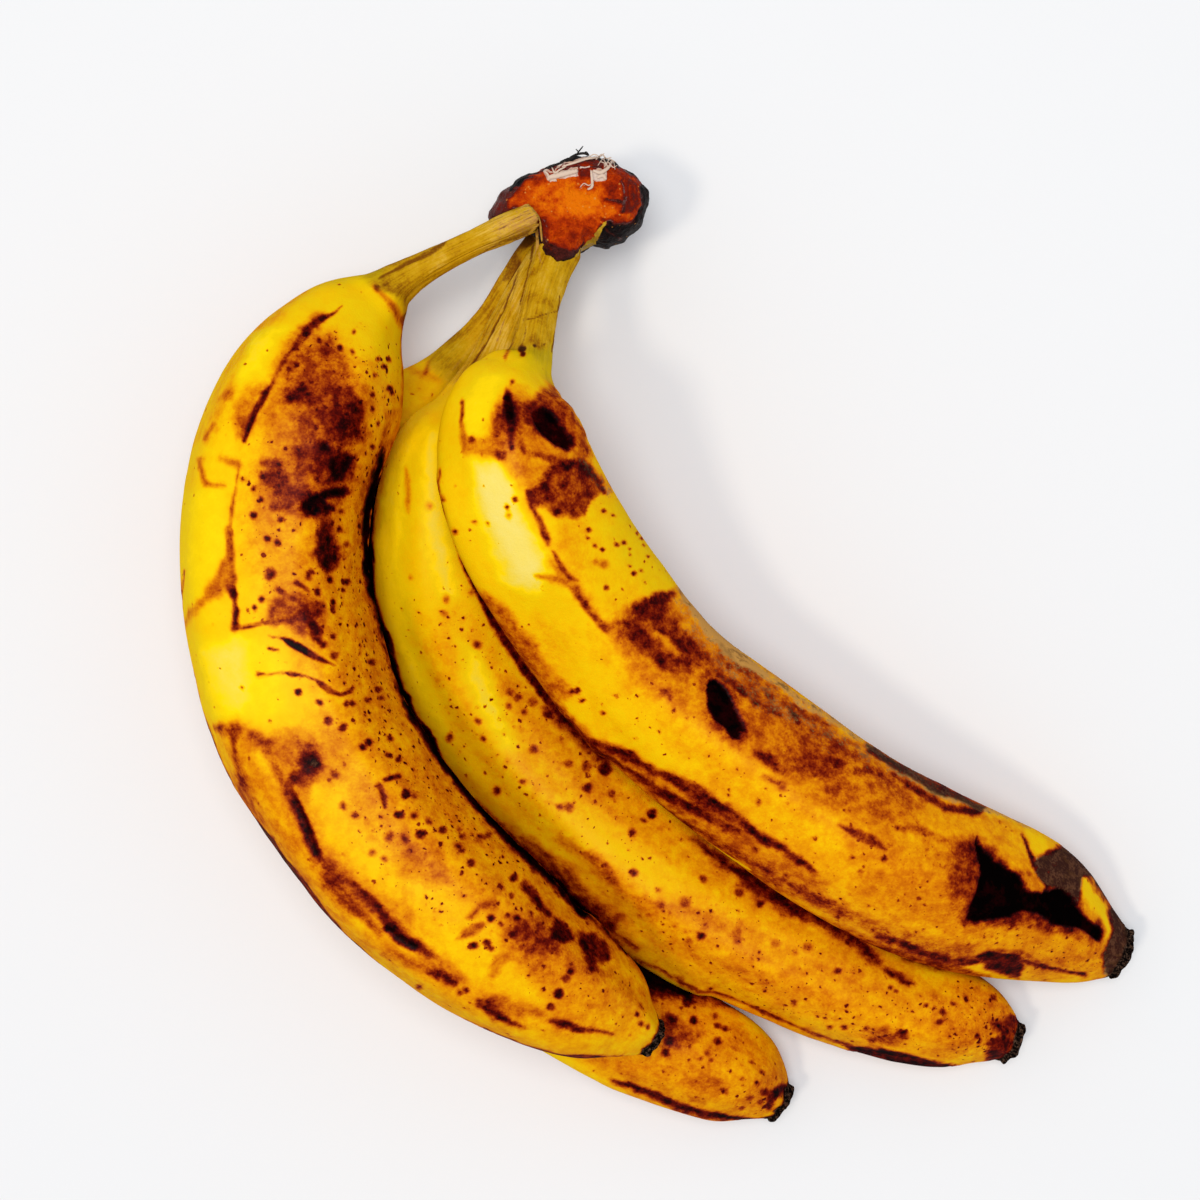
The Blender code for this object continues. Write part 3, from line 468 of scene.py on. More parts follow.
RIGHT_RIPE_AND_LIGHT = (
    patch(0.3, 26, (600, 640), (690, 600), (760, 670), (880, 750), (1000, 800), (1090, 860),
          (1133, 940), (1100, 980), (1000, 978), (930, 940), (860, 880), (780, 800), (690, 720)),
    patch(0.24, 22, (540, 620), (620, 660), (700, 730), (790, 810), (880, 880), (940, 930),
          (900, 945), (800, 890), (700, 820), (610, 740), (545, 660)),
    patch(0.38, 12, (1040, 925), (1085, 932), (1110, 950), (1100, 978), (1040, 975), (1000, 960)),
    patch(0.36, 16, (850, 830), (960, 850), (970, 930), (900, 930), (850, 880)),
    patch(0.1, 16, (560, 640), (600, 650), (660, 720), (700, 770), (660, 765), (600, 725),
          (560, 680)),
    STALK_HOLLOW_SHADE,
    patch(-0.04, 12, (455, 400), (480, 375), (505, 378), (490, 420), (480, 440), (468, 440)),
    # Painted highlight: a pale cream patch on the right finger's lit upper left.
    patch(-0.27, 13, (472, 462), (500, 462), (512, 482), (516, 502), (532, 530), (546, 560),
          (538, 590), (516, 582), (492, 542), (476, 502)),
    patch(0.2, 9, (505, 470), (528, 470), (530, 500), (545, 530), (560, 560), (548, 548),
          (520, 505)),
    patch(0.4, 7, (486, 432), (492, 410), (502, 398), (513, 384), (530, 396), (545, 386),
          (560, 398), (576, 422), (588, 445), (602, 470), (614, 494), (598, 498), (586, 516),
          (560, 519), (540, 505), (526, 492), (522, 478), (506, 465), (484, 454), (466, 454),
          (468, 446)),
    patch(0.56, 6, (490, 440), (493, 412), (503, 400), (516, 404), (520, 430), (514, 446)),
    patch(0.78, 5, (498, 412), (505, 400), (516, 402), (520, 425), (512, 436), (502, 424)),
    patch(1.04, 3, (507, 388), (512, 391), (515, 404), (514, 420), (510, 425), (506, 418),
          (504, 404)),
    streak(0.84, 3, (510, 424, 3), (512, 438, 2.4), (513, 448, 1.6)),
    patch(0.78, 6, (520, 408), (536, 400), (550, 404), (540, 432), (524, 428)),
    patch(0.66, 5, (537, 393), (547, 390), (555, 400), (565, 414), (562, 417), (546, 404),
          (538, 401)),
    patch(1.06, 3.5, (530, 414), (544, 404), (558, 414), (568, 428), (576, 444), (570, 451),
          (556, 447), (545, 439), (534, 428)),
    streak(0.6, 5, (562, 402, 3), (576, 428, 4), (588, 450, 5)),
    streak(0.66, 2.4, (522, 440, 2), (524, 450, 3), (538, 455, 2), (552, 460, 4), (566, 464, 3)),
    patch(0.68, 5, (526, 491), (545, 480), (560, 474), (584, 470), (600, 492), (592, 503),
          (588, 514), (574, 518), (558, 514), (545, 506), (530, 506)),
    streak(0.9, 4, (546, 478, 3), (556, 471, 4), (570, 466, 5), (584, 466, 5), (595, 476, 5),
           (602, 487, 4), (606, 494, 2.4)),
    spots(0.86, 3, (545, 487, 5), (563, 487, 4), (557, 512, 4), (573, 515, 4.4), (548, 497, 4),
          (528, 492, 3)),
    patch(0.12, 1.6, (590, 503), (598, 498), (614, 493), (640, 528), (662, 560), (682, 586),
          (662, 594), (646, 598), (633, 604), (612, 616), (600, 613), (590, 600), (578, 578),
          (562, 552), (552, 532), (560, 520), (583, 522)),
    patch(0.22, 8, (552, 530), (562, 518), (582, 524), (590, 560), (592, 596), (578, 578),
          (562, 552)),
    patch(0.42, 6, (550, 562), (562, 562), (578, 580), (592, 604), (604, 622), (586, 612),
          (566, 588), (552, 578)),
    streak(0.74, 2.6, (527, 495, 2), (533, 508, 3), (540, 520, 3), (545, 535, 4), (549, 546, 1.6)),
    streak(0.66, 2.4, (554, 553, 1.6), (560, 564, 3), (567, 575, 2.6), (577, 581, 1.4)),
    streak(0.5, 3, (536, 575, 2), (550, 577, 3), (566, 580, 2)),
    streak(0.64, 3, (574, 588, 4), (583, 604, 3), (592, 615, 3), (600, 622, 4), (608, 628, 4)),
    patch(0.54, 10, (604, 618), (636, 604), (684, 596), (735, 655), (730, 690), (690, 684),
          (650, 668), (618, 645)),
    patch(0.42, 10, (618, 640), (650, 660), (690, 680), (700, 720), (660, 700), (630, 668)),
    patch(0.84, 4, (631, 606), (645, 596), (661, 592), (682, 587), (684, 600), (668, 608),
          (660, 622), (640, 618)),
    patch(0.8, 5, (626, 620), (642, 620), (652, 638), (662, 654), (672, 668), (660, 670),
          (645, 652), (632, 640)),
    patch(0.78, 5, (650, 608), (672, 618), (692, 640), (706, 655), (694, 660), (674, 642),
          (655, 628)),
    patch(0.72, 6, (668, 654), (692, 652), (698, 664), (684, 672)),
    patch(0.3, 4, (655, 632), (672, 640), (682, 652), (668, 650)),
    patch(0.6, 8, (698, 668), (726, 670), (746, 700), (752, 730), (738, 750), (720, 736),
          (704, 714)),
    patch(1.12, 2, (709, 680), (717, 680), (726, 690), (735, 705), (740, 715), (744, 722),
          (747, 731), (740, 731), (738, 738), (733, 739), (725, 727), (715, 720), (708, 705),
          (706, 690)),
    spots(0.66, 3, (666, 692, 5), (670, 697, 3.4)),
    patch(0.5, 14, (735, 660), (800, 705), (860, 748), (935, 790), (925, 815), (880, 826),
          (830, 802), (785, 778), (752, 745), (742, 700)),
    patch(0.64, 9, (742, 668), (776, 690), (772, 706), (750, 696)),
    patch(0.62, 9, (790, 742), (832, 738), (852, 760), (838, 786), (802, 770)),
    streak(0.78, 4, (756, 752, 2), (765, 760, 5), (775, 768, 4), (783, 773, 2)),
    streak(0.54, 4, (765, 778, 3), (782, 787, 3)),
    spots(0.78, 3, (836, 763, 4), (758, 802, 2.4)),
    streak(0.8, 2, (786, 702, 1.6), (795, 715, 3), (803, 731, 1.6)),
    streak(0.86, 1.4, (790, 705, 1), (804, 718, 1.4), (812, 720, 0.8)),
    streak(0.3, 5, (692, 602, 2), (704, 616, 4), (724, 638, 5), (747, 657, 5), (774, 676, 5),
           (802, 696, 5), (832, 714, 5), (858, 732, 3)),
    streak(0.85, 4, (866, 744, 3), (905, 768, 5), (940, 788, 6), (980, 806, 4)),
    streak(0.68, 4, (856, 774, 3), (870, 770, 6), (882, 775, 5), (892, 786, 3)),
    streak(0.72, 3, (840, 826, 2), (855, 833, 4), (868, 840, 5), (880, 845, 3), (885, 848, 1)),
    streak(0.58, 4, (905, 828, 3), (925, 832, 4), (946, 842, 3)),
    spots(0.74, 2, (883, 858, 2.6), (853, 858, 1.8), (861, 872, 2.2), (897, 828, 2.4),
          (890, 845, 1.4), (946, 866, 2)),
    patch(0.6, 9, (950, 845), (978, 838), (982, 900), (968, 925), (950, 910)),
    patch(0.74, 7, (966, 845), (990, 846), (1030, 885), (1066, 886), (1104, 930), (1090, 940),
          (1040, 926), (968, 928)),
    patch(1.16, 2.4, (976, 836), (983, 848), (995, 862), (1010, 870), (1020, 876), (1026, 890),
          (1036, 893), (1050, 893), (1062, 884), (1070, 894), (1078, 910), (1090, 920), (1100, 928),
          (1102, 936), (1098, 941), (1085, 932), (1075, 926), (1055, 925), (1040, 915), (1022, 912),
          (1010, 918), (990, 919), (976, 924), (968, 920), (970, 908), (978, 885), (980, 865),
          (976, 850)),
    streak(0.92, 1.6, (1022, 834, 1), (1028, 845, 2), (1032, 858, 3), (1034, 866, 2)),
    patch(0.1, 4, (1026, 828), (1046, 838), (1056, 850), (1046, 857), (1036, 854), (1030, 840)),
    patch(0.9, 3, (1034, 862), (1046, 852), (1062, 844), (1092, 862), (1086, 885), (1077, 906),
          (1064, 888), (1046, 888), (1034, 872)),
    patch(0.08, 3, (1084, 879), (1092, 878), (1099, 890), (1106, 905), (1113, 925), (1111, 941),
          (1105, 935), (1098, 915), (1086, 899), (1080, 890)),
    patch(0.32, 2, (1022, 868), (1034, 870), (1046, 888), (1042, 894), (1030, 889)),
    patch(0.92, 3, (976, 956), (990, 950), (1005, 951), (1020, 954), (1022, 968), (1019, 979),
          (1000, 974), (985, 968)),
    streak(0.84, 2, (1020, 960, 2), (1040, 965, 2), (1060, 970, 2), (1085, 975, 1.6)),
    streak(0.6, 2, (1000, 950, 2), (1022, 953, 2), (1040, 963, 1.4)),
    patch(0.92, 4, (1102, 952), (1111, 930), (1106, 905), (1090, 879), (1058, 843), (1090, 850),
          (1125, 900), (1140, 935), (1138, 960), (1125, 980), (1106, 980)),
    # Painted shade along the right finger's edge where it lies on the middle one.
    streak(0.5, 5, (452, 530, 1), (470, 575, 3), (482, 588, 5), (506, 612, 9), (532, 650, 9),
           (562, 692, 8)),
    streak(0.9, 2, (440, 480, 0.6), (450, 520, 1.6), (459, 550, 3), (466, 570, 3.4),
           (476, 592, 3.6), (488, 612, 5), (512, 650, 6), (528, 675, 6), (545, 696, 6)),
    streak(0.74, 3, (690, 640, 2), (720, 676, 3), (752, 700, 3), (780, 716, 2)),
    streak(0.6, 3, (716, 640, 2), (748, 676, 3), (790, 704, 3), (830, 726, 2)),
    patch(0.36, 6, (676, 588), (692, 600), (720, 640), (712, 650), (688, 628), (668, 606)),
    patch(0.6, 7, (800, 715), (830, 728), (862, 748), (870, 764), (840, 758), (812, 744),
          (796, 728)),
    streak(0.86, 2, (868, 750, 2.4), (880, 757, 3), (896, 764, 3), (908, 768, 1.6)),
    streak(0.8, 3, (895, 775, 2), (925, 795, 4), (945, 808, 4), (975, 812, 4), (985, 806, 2)),
    patch(0.45, 6, (556, 700), (600, 736), (650, 772), (700, 804), (760, 842), (830, 884),
          (815, 893), (750, 862), (690, 828), (640, 796), (600, 762), (560, 722)),
    streak(0.82, 4, (545, 690, 3), (560, 706, 5), (575, 720, 6), (590, 735, 5), (603, 742, 4),
           (620, 750, 4), (629, 757, 6), (640, 765, 4), (655, 772, 4), (668, 775, 5), (685, 786, 7),
           (700, 797, 8), (720, 809, 7), (740, 824, 5), (760, 836, 4), (785, 850, 4), (800, 862, 4),
           (816, 874, 2)),
    streak(0.8, 3, (600, 748, 2), (622, 767, 2), (650, 785, 4), (668, 795, 5), (690, 808, 5),
           (712, 819, 5), (738, 834, 4)),
    patch(0.5, 7, (636, 785), (700, 822), (750, 850), (800, 880), (850, 908), (900, 928),
          (975, 946), (960, 990), (900, 975), (850, 952), (800, 926), (750, 896), (700, 864),
          (640, 824)),
    streak(0.66, 3, (840, 930, 2), (880, 948, 4), (920, 962, 3), (990, 978, 2)),
    streak(0.34, 3, (700, 846, 2), (760, 884, 3), (820, 912, 3), (870, 934, 2)),
    streak(0.62, 3, (690, 826, 2), (730, 850, 4), (770, 872, 3), (810, 893, 4), (850, 912, 3)),
    streak(0.7, 2.4, (650, 800, 1), (700, 832, 2), (750, 862, 2), (800, 890, 2.4), (850, 918, 2)),
    streak(0.85, 3, (880, 935, 3), (920, 952, 4), (950, 961, 3), (975, 962, 4)),
    # Painted highlight: a thin light line along the right finger's lower edge over the middle one.
    streak(-0.1, 1, (616, 778, 0.5), (640, 797, 0.6), (665, 815, 0.7), (696, 836, 0.8),
           (720, 851, 0.8), (750, 870, 0.7)),
    streak(0.68, 2, (461, 402, 2), (462, 414, 2.6), (461, 424, 1.6)),
    streak(0.44, 3, (463, 425, 3), (465, 440, 4), (465, 452, 3), (485, 452, 2), (498, 452, 2)),
    patch(0.74, 3, (494, 450), (508, 450), (504, 460), (497, 458)),
    spots(0.8, 2, (472, 441, 3.6), (449, 497, 2), (476, 521, 1.8), (488, 524, 1.5), (461, 528, 2.4),
          (512, 382, 2), (506, 507, 2.4), (514, 500, 3)),
    spots(0.8, 1.6, (604, 511, 2.4), (613, 516, 1.5), (588, 530, 2.6), (587, 538, 1.6),
          (594, 546, 2), (602, 550, 2), (617, 545, 2.8), (624, 543, 2.4), (629, 549, 1.5),
          (630, 555, 1.5), (637, 533, 1.8), (641, 538, 1.8), (643, 545, 1.6), (634, 574, 2.8),
          (641, 571, 2), (606, 588, 2.6), (630, 566, 1.4), (648, 556, 1.4), (578, 690, 3),
          (573, 690, 2.6), (584, 700, 2.4), (603, 713, 1.8)),
    spots(0.45, 3, (603, 565, 4), (597, 562, 3), (508, 515, 3)),
    streak(0.74, 1.2, (524, 319, 1), (534, 318, 1.2), (545, 314, 1.1), (557, 311, 1)),
    streak(0.5, 2, (528, 292, 1.4), (526, 320, 1.6), (523, 345, 2)),
    streak(0.6, 2, (531, 262, 1.4), (526, 285, 1.4), (521, 305, 1.6), (516, 328, 1.4),
           (509, 350, 2), (505, 358, 1.4)),
    streak(0.5, 2, (556, 276, 1.4), (550, 300, 1.2), (546, 330, 1.4)),
    streak(0.46, 3, (528, 306, 3), (530, 300, 3)),
    spots(0.88, 2, (522, 349, 4.4), (523, 354, 3), (535, 345, 2.6), (544, 344, 1.5)),
    streak(0.7, 1.6, (560, 295, 1.2), (556, 330, 1.2), (551, 352, 1.2)),
)
RIGHT_FRECKLES = (
    patch(0.5, 14, (560, 620), (700, 680), (860, 800), (960, 860), (1100, 940), (1060, 970),
          (900, 930), (760, 850), (640, 740)),
    patch(0.35, 6, (590, 505), (614, 495), (682, 586), (640, 590), (600, 560)),
    patch(0.8, 6, (980, 925), (1100, 940), (1100, 972), (1030, 970), (980, 950)),
    patch(0.7, 8, (800, 880), (960, 930), (960, 955), (880, 935), (800, 900)),
)
RIGHT_SWELL = (
    streak(1.0, 10, (566, 412, 2), (580, 432, 3)),
    streak(2.4, 13, (550, 386, 1), (557, 399, 3), (565, 410, 0)),
    streak(2.5, 24, (444, 480, 0), (466, 548, 8), (488, 590, 10), (526, 650, 12), (556, 695, 8),
           (600, 748, 2)),
)
RIGHT_GREY = (
    streak(0.6, 1.6, (537, 224, 1.6), (537, 244, 1.4), (541, 262, 1.6)),
    streak(0.36, 3, (545, 268, 5), (548, 290, 4)),
    patch(0.36, 8, (664, 592), (690, 600), (735, 650), (790, 700), (850, 735), (900, 775),
          (872, 772), (820, 742), (760, 714), (712, 672), (684, 632)),
    streak(0.6, 8, (584, 462, 4), (594, 474, 6), (604, 488, 6), (612, 494, 4)),
    patch(0.95, 4, (676, 588), (682, 584), (700, 604), (730, 636), (752, 660), (780, 684),
          (770, 684), (742, 666), (722, 652), (706, 634), (690, 612)),
    streak(0.62, 3, (770, 678, 4), (800, 700, 5), (830, 718, 5), (860, 736, 5)),
    streak(0.74, 4, (866, 744, 3), (880, 754, 5), (905, 770, 6), (930, 785, 6.4), (956, 799, 5),
           (980, 806, 3.4), (1005, 814, 2.6), (1030, 826, 2)),
    patch(0.85, 3, (1036, 858), (1056, 852), (1062, 846), (1084, 862), (1086, 874), (1080, 890),
          (1078, 905), (1064, 888), (1046, 886), (1036, 872)),
    patch(0.85, 3, (1104, 952), (1114, 930), (1108, 905), (1092, 880), (1060, 845), (1110, 870),
          (1140, 935), (1138, 960), (1125, 984), (1104, 982)),
)
RIGHT_GREEN = (
    patch(0.9, 8, (508, 350), (556, 346), (580, 395), (560, 385), (530, 372)),
    patch(0.6, 7, (600, 500), (620, 500), (684, 586), (650, 596), (622, 550)),
    patch(0.2, 7, (650, 800), (750, 858), (850, 916), (960, 950), (950, 965), (850, 930),
          (750, 875), (650, 812)),
    streak(0.4, 8, (830, 735, 5), (880, 768, 4)),
)

# The cut crown. Brightness of its flesh: 0 black, 0.3 purple-brown, 0.5 maroon, 0.7 red, 1 orange.
CROWN_FLESH = (
    patch(0.7, 3, (503, 200), (511, 188), (524, 181), (537, 172), (550, 168), (600, 162),
          (622, 168), (640, 182), (642, 205), (636, 220), (610, 222), (594, 240), (575, 250),
          (548, 252), (540, 225), (520, 208)),
    patch(0.34, 2, (480, 220), (488, 205), (497, 194), (508, 184), (516, 190), (508, 200),
          (520, 210), (505, 214), (486, 222)),
    spots(0.66, 2, (511, 204, 3.6), (507, 199, 2), (515, 198, 2)),
    spots(0.5, 2, (500, 204, 1.6), (496, 209, 1.2)),
    patch(0.04, 1.6, (508, 183), (512, 180), (528, 178), (520, 186), (511, 190)),
    patch(0.82, 4, (526, 190), (545, 178), (590, 174), (604, 184), (612, 200), (620, 212),
          (606, 216), (590, 222), (566, 220), (548, 214), (532, 204)),
    patch(0.9, 3, (541, 184), (562, 180), (568, 198), (560, 212), (546, 210), (538, 198)),
    spots(0.72, 1.4, (548, 194, 1.6), (556, 200, 2.4), (550, 206, 1.6), (562, 192, 1.4),
          (544, 200, 1.4), (566, 206, 1.6)),
    patch(1.0, 4, (568, 184), (582, 186), (598, 196), (604, 206), (596, 214), (576, 216),
          (566, 208)),
    patch(0.86, 3, (600, 206), (616, 207), (626, 214), (618, 221), (602, 218)),
    patch(0.66, 3, (546, 218), (566, 221), (586, 222), (600, 219), (594, 232), (584, 243),
          (568, 248), (552, 246), (546, 232)),
    patch(0.74, 2.4, (560, 222), (575, 221), (578, 230), (566, 236)),
    patch(0.48, 2.4, (538, 216), (545, 218), (549, 232), (548, 246), (541, 244)),
    patch(0.28, 2, (541, 238), (549, 242), (558, 248), (572, 250), (586, 246), (584, 252),
          (570, 261), (558, 266), (545, 258)),
    spots(0.6, 1, (551, 252, 1), (555, 256, 0.8), (549, 248, 0.8)),
    patch(0.6, 3, (606, 172), (622, 168), (628, 180), (624, 198), (612, 200), (604, 188)),
    patch(0.44, 2, (626, 178), (636, 182), (638, 200), (634, 212), (622, 212), (624, 196)),
    streak(0.62, 1, (630, 182, 0.8), (629, 196, 1), (632, 206, 0.8)),
    streak(0.6, 1, (634, 186, 0.6), (635, 200, 0.8)),
    streak(0.26, 1.2, (622, 180, 0.8), (624, 196, 1.4), (623, 212, 1.4)),
    streak(0.3, 1.2, (606, 199, 0.8), (614, 201, 1.4), (622, 203, 1.4)),
    patch(0.66, 2, (612, 216), (626, 216), (638, 208), (640, 214), (628, 223), (614, 223)),
    streak(0.44, 1.6, (602, 219, 1), (612, 222, 1.4), (628, 224, 1.4), (638, 216, 1.2)),
    patch(0.1, 2, (638, 178), (652, 186), (650, 200), (646, 218), (634, 240), (616, 252),
          (598, 250), (590, 244), (601, 226), (612, 227), (628, 226), (640, 214), (641, 200)),
    streak(0.3, 1, (606, 229, 0.8), (612, 234, 1), (622, 240, 0.8)),
    streak(0.26, 1, (640, 190, 0.8), (643, 205, 1), (640, 218, 0.8)),
    streak(0.06, 1.4, (548, 168, 0.8), (554, 165, 1.8), (562, 162, 2), (572, 158, 2),
           (584, 155, 2)),
    streak(0.46, 1.4, (560, 168, 1), (575, 165, 2), (590, 163, 2.4), (602, 166, 2.4)),
    streak(0.3, 1.2, (562, 170, 0.8), (580, 167, 0.8), (600, 169, 1)),
    patch(0.44, 1.6, (580, 168), (590, 168), (590, 178), (580, 178)),
    streak(0.1, 1.6, (606, 160, 1), (624, 166, 1.6), (640, 178, 2), (648, 188, 2.4),
           (647, 205, 2.4), (640, 222, 3)),
)
CROWN_FIBRE = (
    patch(0.95, 1.2, (549, 176), (556, 172), (577, 168), (579, 175), (558, 178), (548, 181)),
    streak(0.9, 1, (544, 172, 0.6), (547, 178, 1.2), (556, 180, 0.8)),
    streak(0.8, 1, (547, 171, 0.6), (553, 172, 0.8), (558, 168, 0.6)),
    streak(0.9, 1.2, (560, 167, 0.8), (574, 162, 1), (586, 159, 1.4), (598, 159, 1.2)),
    patch(0.85, 1.6, (590, 171), (600, 170), (608, 170), (606, 180), (596, 181), (591, 177)),
    streak(0.8, 1, (591, 176, 1), (592, 186, 1.2), (588, 189, 0.8)),
    streak(0.6, 1, (580, 189, 0.8), (586, 184, 0.8)),
    streak(0.85, 1, (580, 168, 0.8), (589, 168, 0.8)),
    spots(0.75, 1.4, (604, 158, 2), (612, 162, 2), (598, 156, 1.6), (606, 166, 2.4)),
)
CROWN_PEEL = (
    streak(1.0, 1.4, (578, 259, 3.4), (586, 251, 3.6), (594, 241, 3), (601, 230, 2),
           (607, 222, 0.8)),
)


def catmull_rom(before, start, end, after, share):
    """The place on the smooth span from start to end, this share of the way along it."""
    return 0.5 * (
        2.0 * start
        + (end - before) * share
        + (2.0 * before - 5.0 * start + 4.0 * end - after) * share ** 2
        + (3.0 * start - before - 3.0 * end + after) * share ** 3
    )


def smooth_line(points, steps=40):
    """A smooth curve through these points, with this many steps from one to the next."""
    points = np.array(points, float)
    points = np.vstack([2 * points[0] - points[1], points, 2 * points[-1] - points[-2]])
    share = (np.arange(steps) / steps)[:, None]
    spans = [catmull_rom(*points[i:i + 4, None], share) for i in range(len(points) - 3)]
    return np.vstack(spans + [points[-2:-1]])


def even_line(points, count):
    """The smooth curve, at this many places the same length apart, and how far along each is."""
    line = smooth_line(points)
    steps = np.linalg.norm(np.diff(line[:, :3], axis=0), axis=1)
    length = np.concatenate([[0.0], np.cumsum(steps)])
    wanted = np.linspace(0.0, length[-1], count)
    return np.stack([np.interp(wanted, length, column) for column in line.T], 1), wanted


def ease(low, high, value):
    """Rises smoothly from 0 at low to 1 at high."""
    share = np.clip((np.asarray(value) - low) / (high - low), 0.0, 1.0)
    return share * share * (3.0 - 2.0 * share)


def lattice_noise(places, size, seed):
    """Smooth noise from -1 to 1, with features of this size."""
    place = places / size + seed * np.array([17.3, 5.9, 11.7])
    cell = np.floor(place).astype(np.int64)
    part = place - cell
    part = part * part * (3.0 - 2.0 * part)
    total = np.zeros(len(places))
    for corner in range(8):
        step = np.array([corner & 1, corner >> 1 & 1, corner >> 2 & 1])
        key = (cell + step) @ np.array([374761393, 668265263, 2147483647]) & 0xFFFFFFFF
        key = (key ^ key >> 13) * 1274126177 & 0xFFFFFFFF
        key = (key ^ key >> 16) * 2246822519 & 0xFFFFFFFF
        total += np.prod(np.where(step, part, 1.0 - part), axis=1) * (key / 0xFFFFFFFF)
    return 2.0 * total - 1.0


def rough_noise(places, size, seed, octaves=3):
    """Noise with finer and fainter noise on it."""
    total = sum(lattice_noise(places, size / 2 ** i, seed + i) / 2 ** i for i in range(octaves))
    return total / sum(1 / 2 ** i for i in range(octaves))


def seen_pixels(places):
    """The pixels at which the camera straight above sees these places, given in millimetres."""
    across, along, high = CAMERA_PLACE
    scale = PIXELS_AT_ONE_METRE / (high - places[:, 2] * MM)
    return np.stack([
        FRAME_PIXELS / 2 + (places[:, 0] * MM - across) * scale,
        FRAME_PIXELS / 2 - (places[:, 1] * MM - along) * scale,
    ], 1)


def place_of_pixel(pixel, height):
    """The place in millimetres that the camera sees at this pixel, at this height."""
    across, along, high = CAMERA_PLACE
    scale = (high - height * MM) / PIXELS_AT_ONE_METRE
    return Vector((
        (across + (pixel[0] - FRAME_PIXELS / 2) * scale) / MM,
        (along - (pixel[1] - FRAME_PIXELS / 2) * scale) / MM,
        height,
    ))


def distance_outside(kind, points, pixels):
    """How many pixels each place is outside a mark; less than 0 inside it."""
    points = np.array(points, float)
    if kind == "spots":
        away = np.linalg.norm(pixels[:, None] - points[None, :, :2], axis=2) - points[None, :, 2]
        return away.min(1)
    starts, ends = points, np.roll(points, -1, axis=0)
    if kind == "streak":
        starts, ends = points[:-1], points[1:]
    nearest = np.full(len(pixels), 1e9)
    inside = np.zeros(len(pixels), bool)
    for start, end in zip(starts, ends):
        run = end[:2] - start[:2]
        share = np.clip((pixels - start[:2]) @ run / max(run @ run, 1e-9), 0.0, 1.0)
        away = np.linalg.norm(pixels - start[:2] - share[:, None] * run, axis=1)
        if kind == "streak":
            away -= start[2] + (end[2] - start[2]) * share
        else:
            crosses = (start[1] > pixels[:, 1]) != (end[1] > pixels[:, 1])
            rise = run[1] if abs(run[1]) > 1e-9 else 1e-9
            crossing = start[0] + (pixels[:, 1] - start[1]) / rise * run[0]
            inside ^= crosses & (pixels[:, 0] < crossing)
        nearest = np.minimum(nearest, away)
    return np.where(inside, -nearest, nearest)


# How far noise moves the edges of marks against their softness, up to this softness in pixels,
# how unevenly streaks thin out, and how far past a mark its edge can still reach.
EDGE_MOVE = 1.1
MOVED_SOFTNESS = 7.0
THINNING = 1.6
MARK_MARGIN = 2.5


def paint(values, marks, pixels, ragged, shown):
    """Lays marks over values in their order, each as far as the camera above sees the surface."""
    thin = ragged[:, 0] * ragged[:, 1] * THINNING
    for kind, level, soft, points in marks:
        reach = np.array(points, float)
        wide = soft * MARK_MARGIN + (reach[:, 2].max() if kind != "patch" else 0.0)
        low, high = reach[:, :2].min(0) - wide, reach[:, :2].max(0) + wide
        near = np.flatnonzero(((pixels > low) & (pixels < high)).all(1) & (shown > 0.0))
        if not len(near):
            continue
        moved = pixels[near] + ragged[near] * min(soft, MOVED_SOFTNESS) * EDGE_MOVE
        away = distance_outside(kind, points, moved)
        if kind == "streak":
            away += thin[near] * (0.8 + 0.5 * reach[:, 2].mean())
        cover = (1.0 - ease(-soft, soft, away)) * shown[near]
        values[near] += (level - values[near]) * cover
    return values


def made_mesh(name, make, **settings):
    """A new mesh that holds what this operator makes, and the places of its vertices."""
    mesh = bmesh.new()
    make(mesh, **settings)
    data = bpy.data.meshes.new(name)
    mesh.to_mesh(data)
    mesh.free()
    places = np.zeros(len(data.vertices) * 3, np.float32)
    data.vertices.foreach_get("co", places)
    return data, places.reshape(-1, 3)


def keep_layers(data, layers):
    """Stores one number per vertex for each layer, for the finish to read."""
    for layer, value in layers.items():
        attribute = data.attributes.new(layer, "FLOAT", "POINT")
        attribute.data.foreach_set("value", value.astype(np.float32))


def put_down(name, data):
    """A piece or a thing of the studio that shows this mesh, light or camera."""
    piece = bpy.data.objects.new(name, data)
    bpy.context.scene.collection.objects.link(piece)
    return piece


def finger_course(name, along):
    """A finger's middle line in even steps, how far along each step is, and its directions."""
    route, run = even_line(ROUTES[name], along)
    slope = np.gradient(route[:, :3], axis=0) * np.array([1.0, 1.0, RING_LEAN])
    onward = slope / np.linalg.norm(slope, axis=1)[:, None]
    across = np.cross([0.0, 0.0, 1.0], onward)
    across /= np.linalg.norm(across, axis=1)[:, None]
    upward = np.cross(onward, across)
    return route, run, onward, across, upward


def section(angle, radius, turn):
    """How far the skin is from the middle line at these angles, with the ridges turned."""
    body = ease(STALK_RADIUS, BODY_RADIUS, radius)
    ridge = STALK_RIDGE + (BODY_RIDGE - STALK_RIDGE) * body
    crest = np.abs(np.cos(FACES_AROUND * (angle - turn) / 2.0)) ** RIDGE_SHARPNESS
    return radius * (1.0 - ridge / 2.0 + ridge * crest)


# How fibrous the skin of each stalk is all over.
FIBROUS_STALK = {
    "plantain_left": 0.15,
    "plantain_under": 0.12,
    "plantain_middle": 0.6,
    "plantain_right": 0.2,
}

# How much closer together the columns of the mesh are on top of a finger than beneath it.
CLOSER_ABOVE = 0.4

# The stalk ends about where its radius is this, a little before to a little after.
NECK_RADIUS = 7.0
NECK_BEFORE, NECK_AFTER = 5.0, 6.0

# The crust starts and is whole this far before the end, and its rings are drawn out this much.
CRUST_STARTS, CRUST_WHOLE = 3.2, 0.4
CRUST_LENGTH = 1.25

# Relief in millimetres: dents on the body, lumps of the crust, and how deep dark places sink.
WIDE_DENTS, SMALL_DENTS, FINE_DENTS = 0.30, 0.10, 0.03
CRUST_LUMPS = 0.5
BLACK_SINKS, BROWN_SINKS = 0.55, 0.12

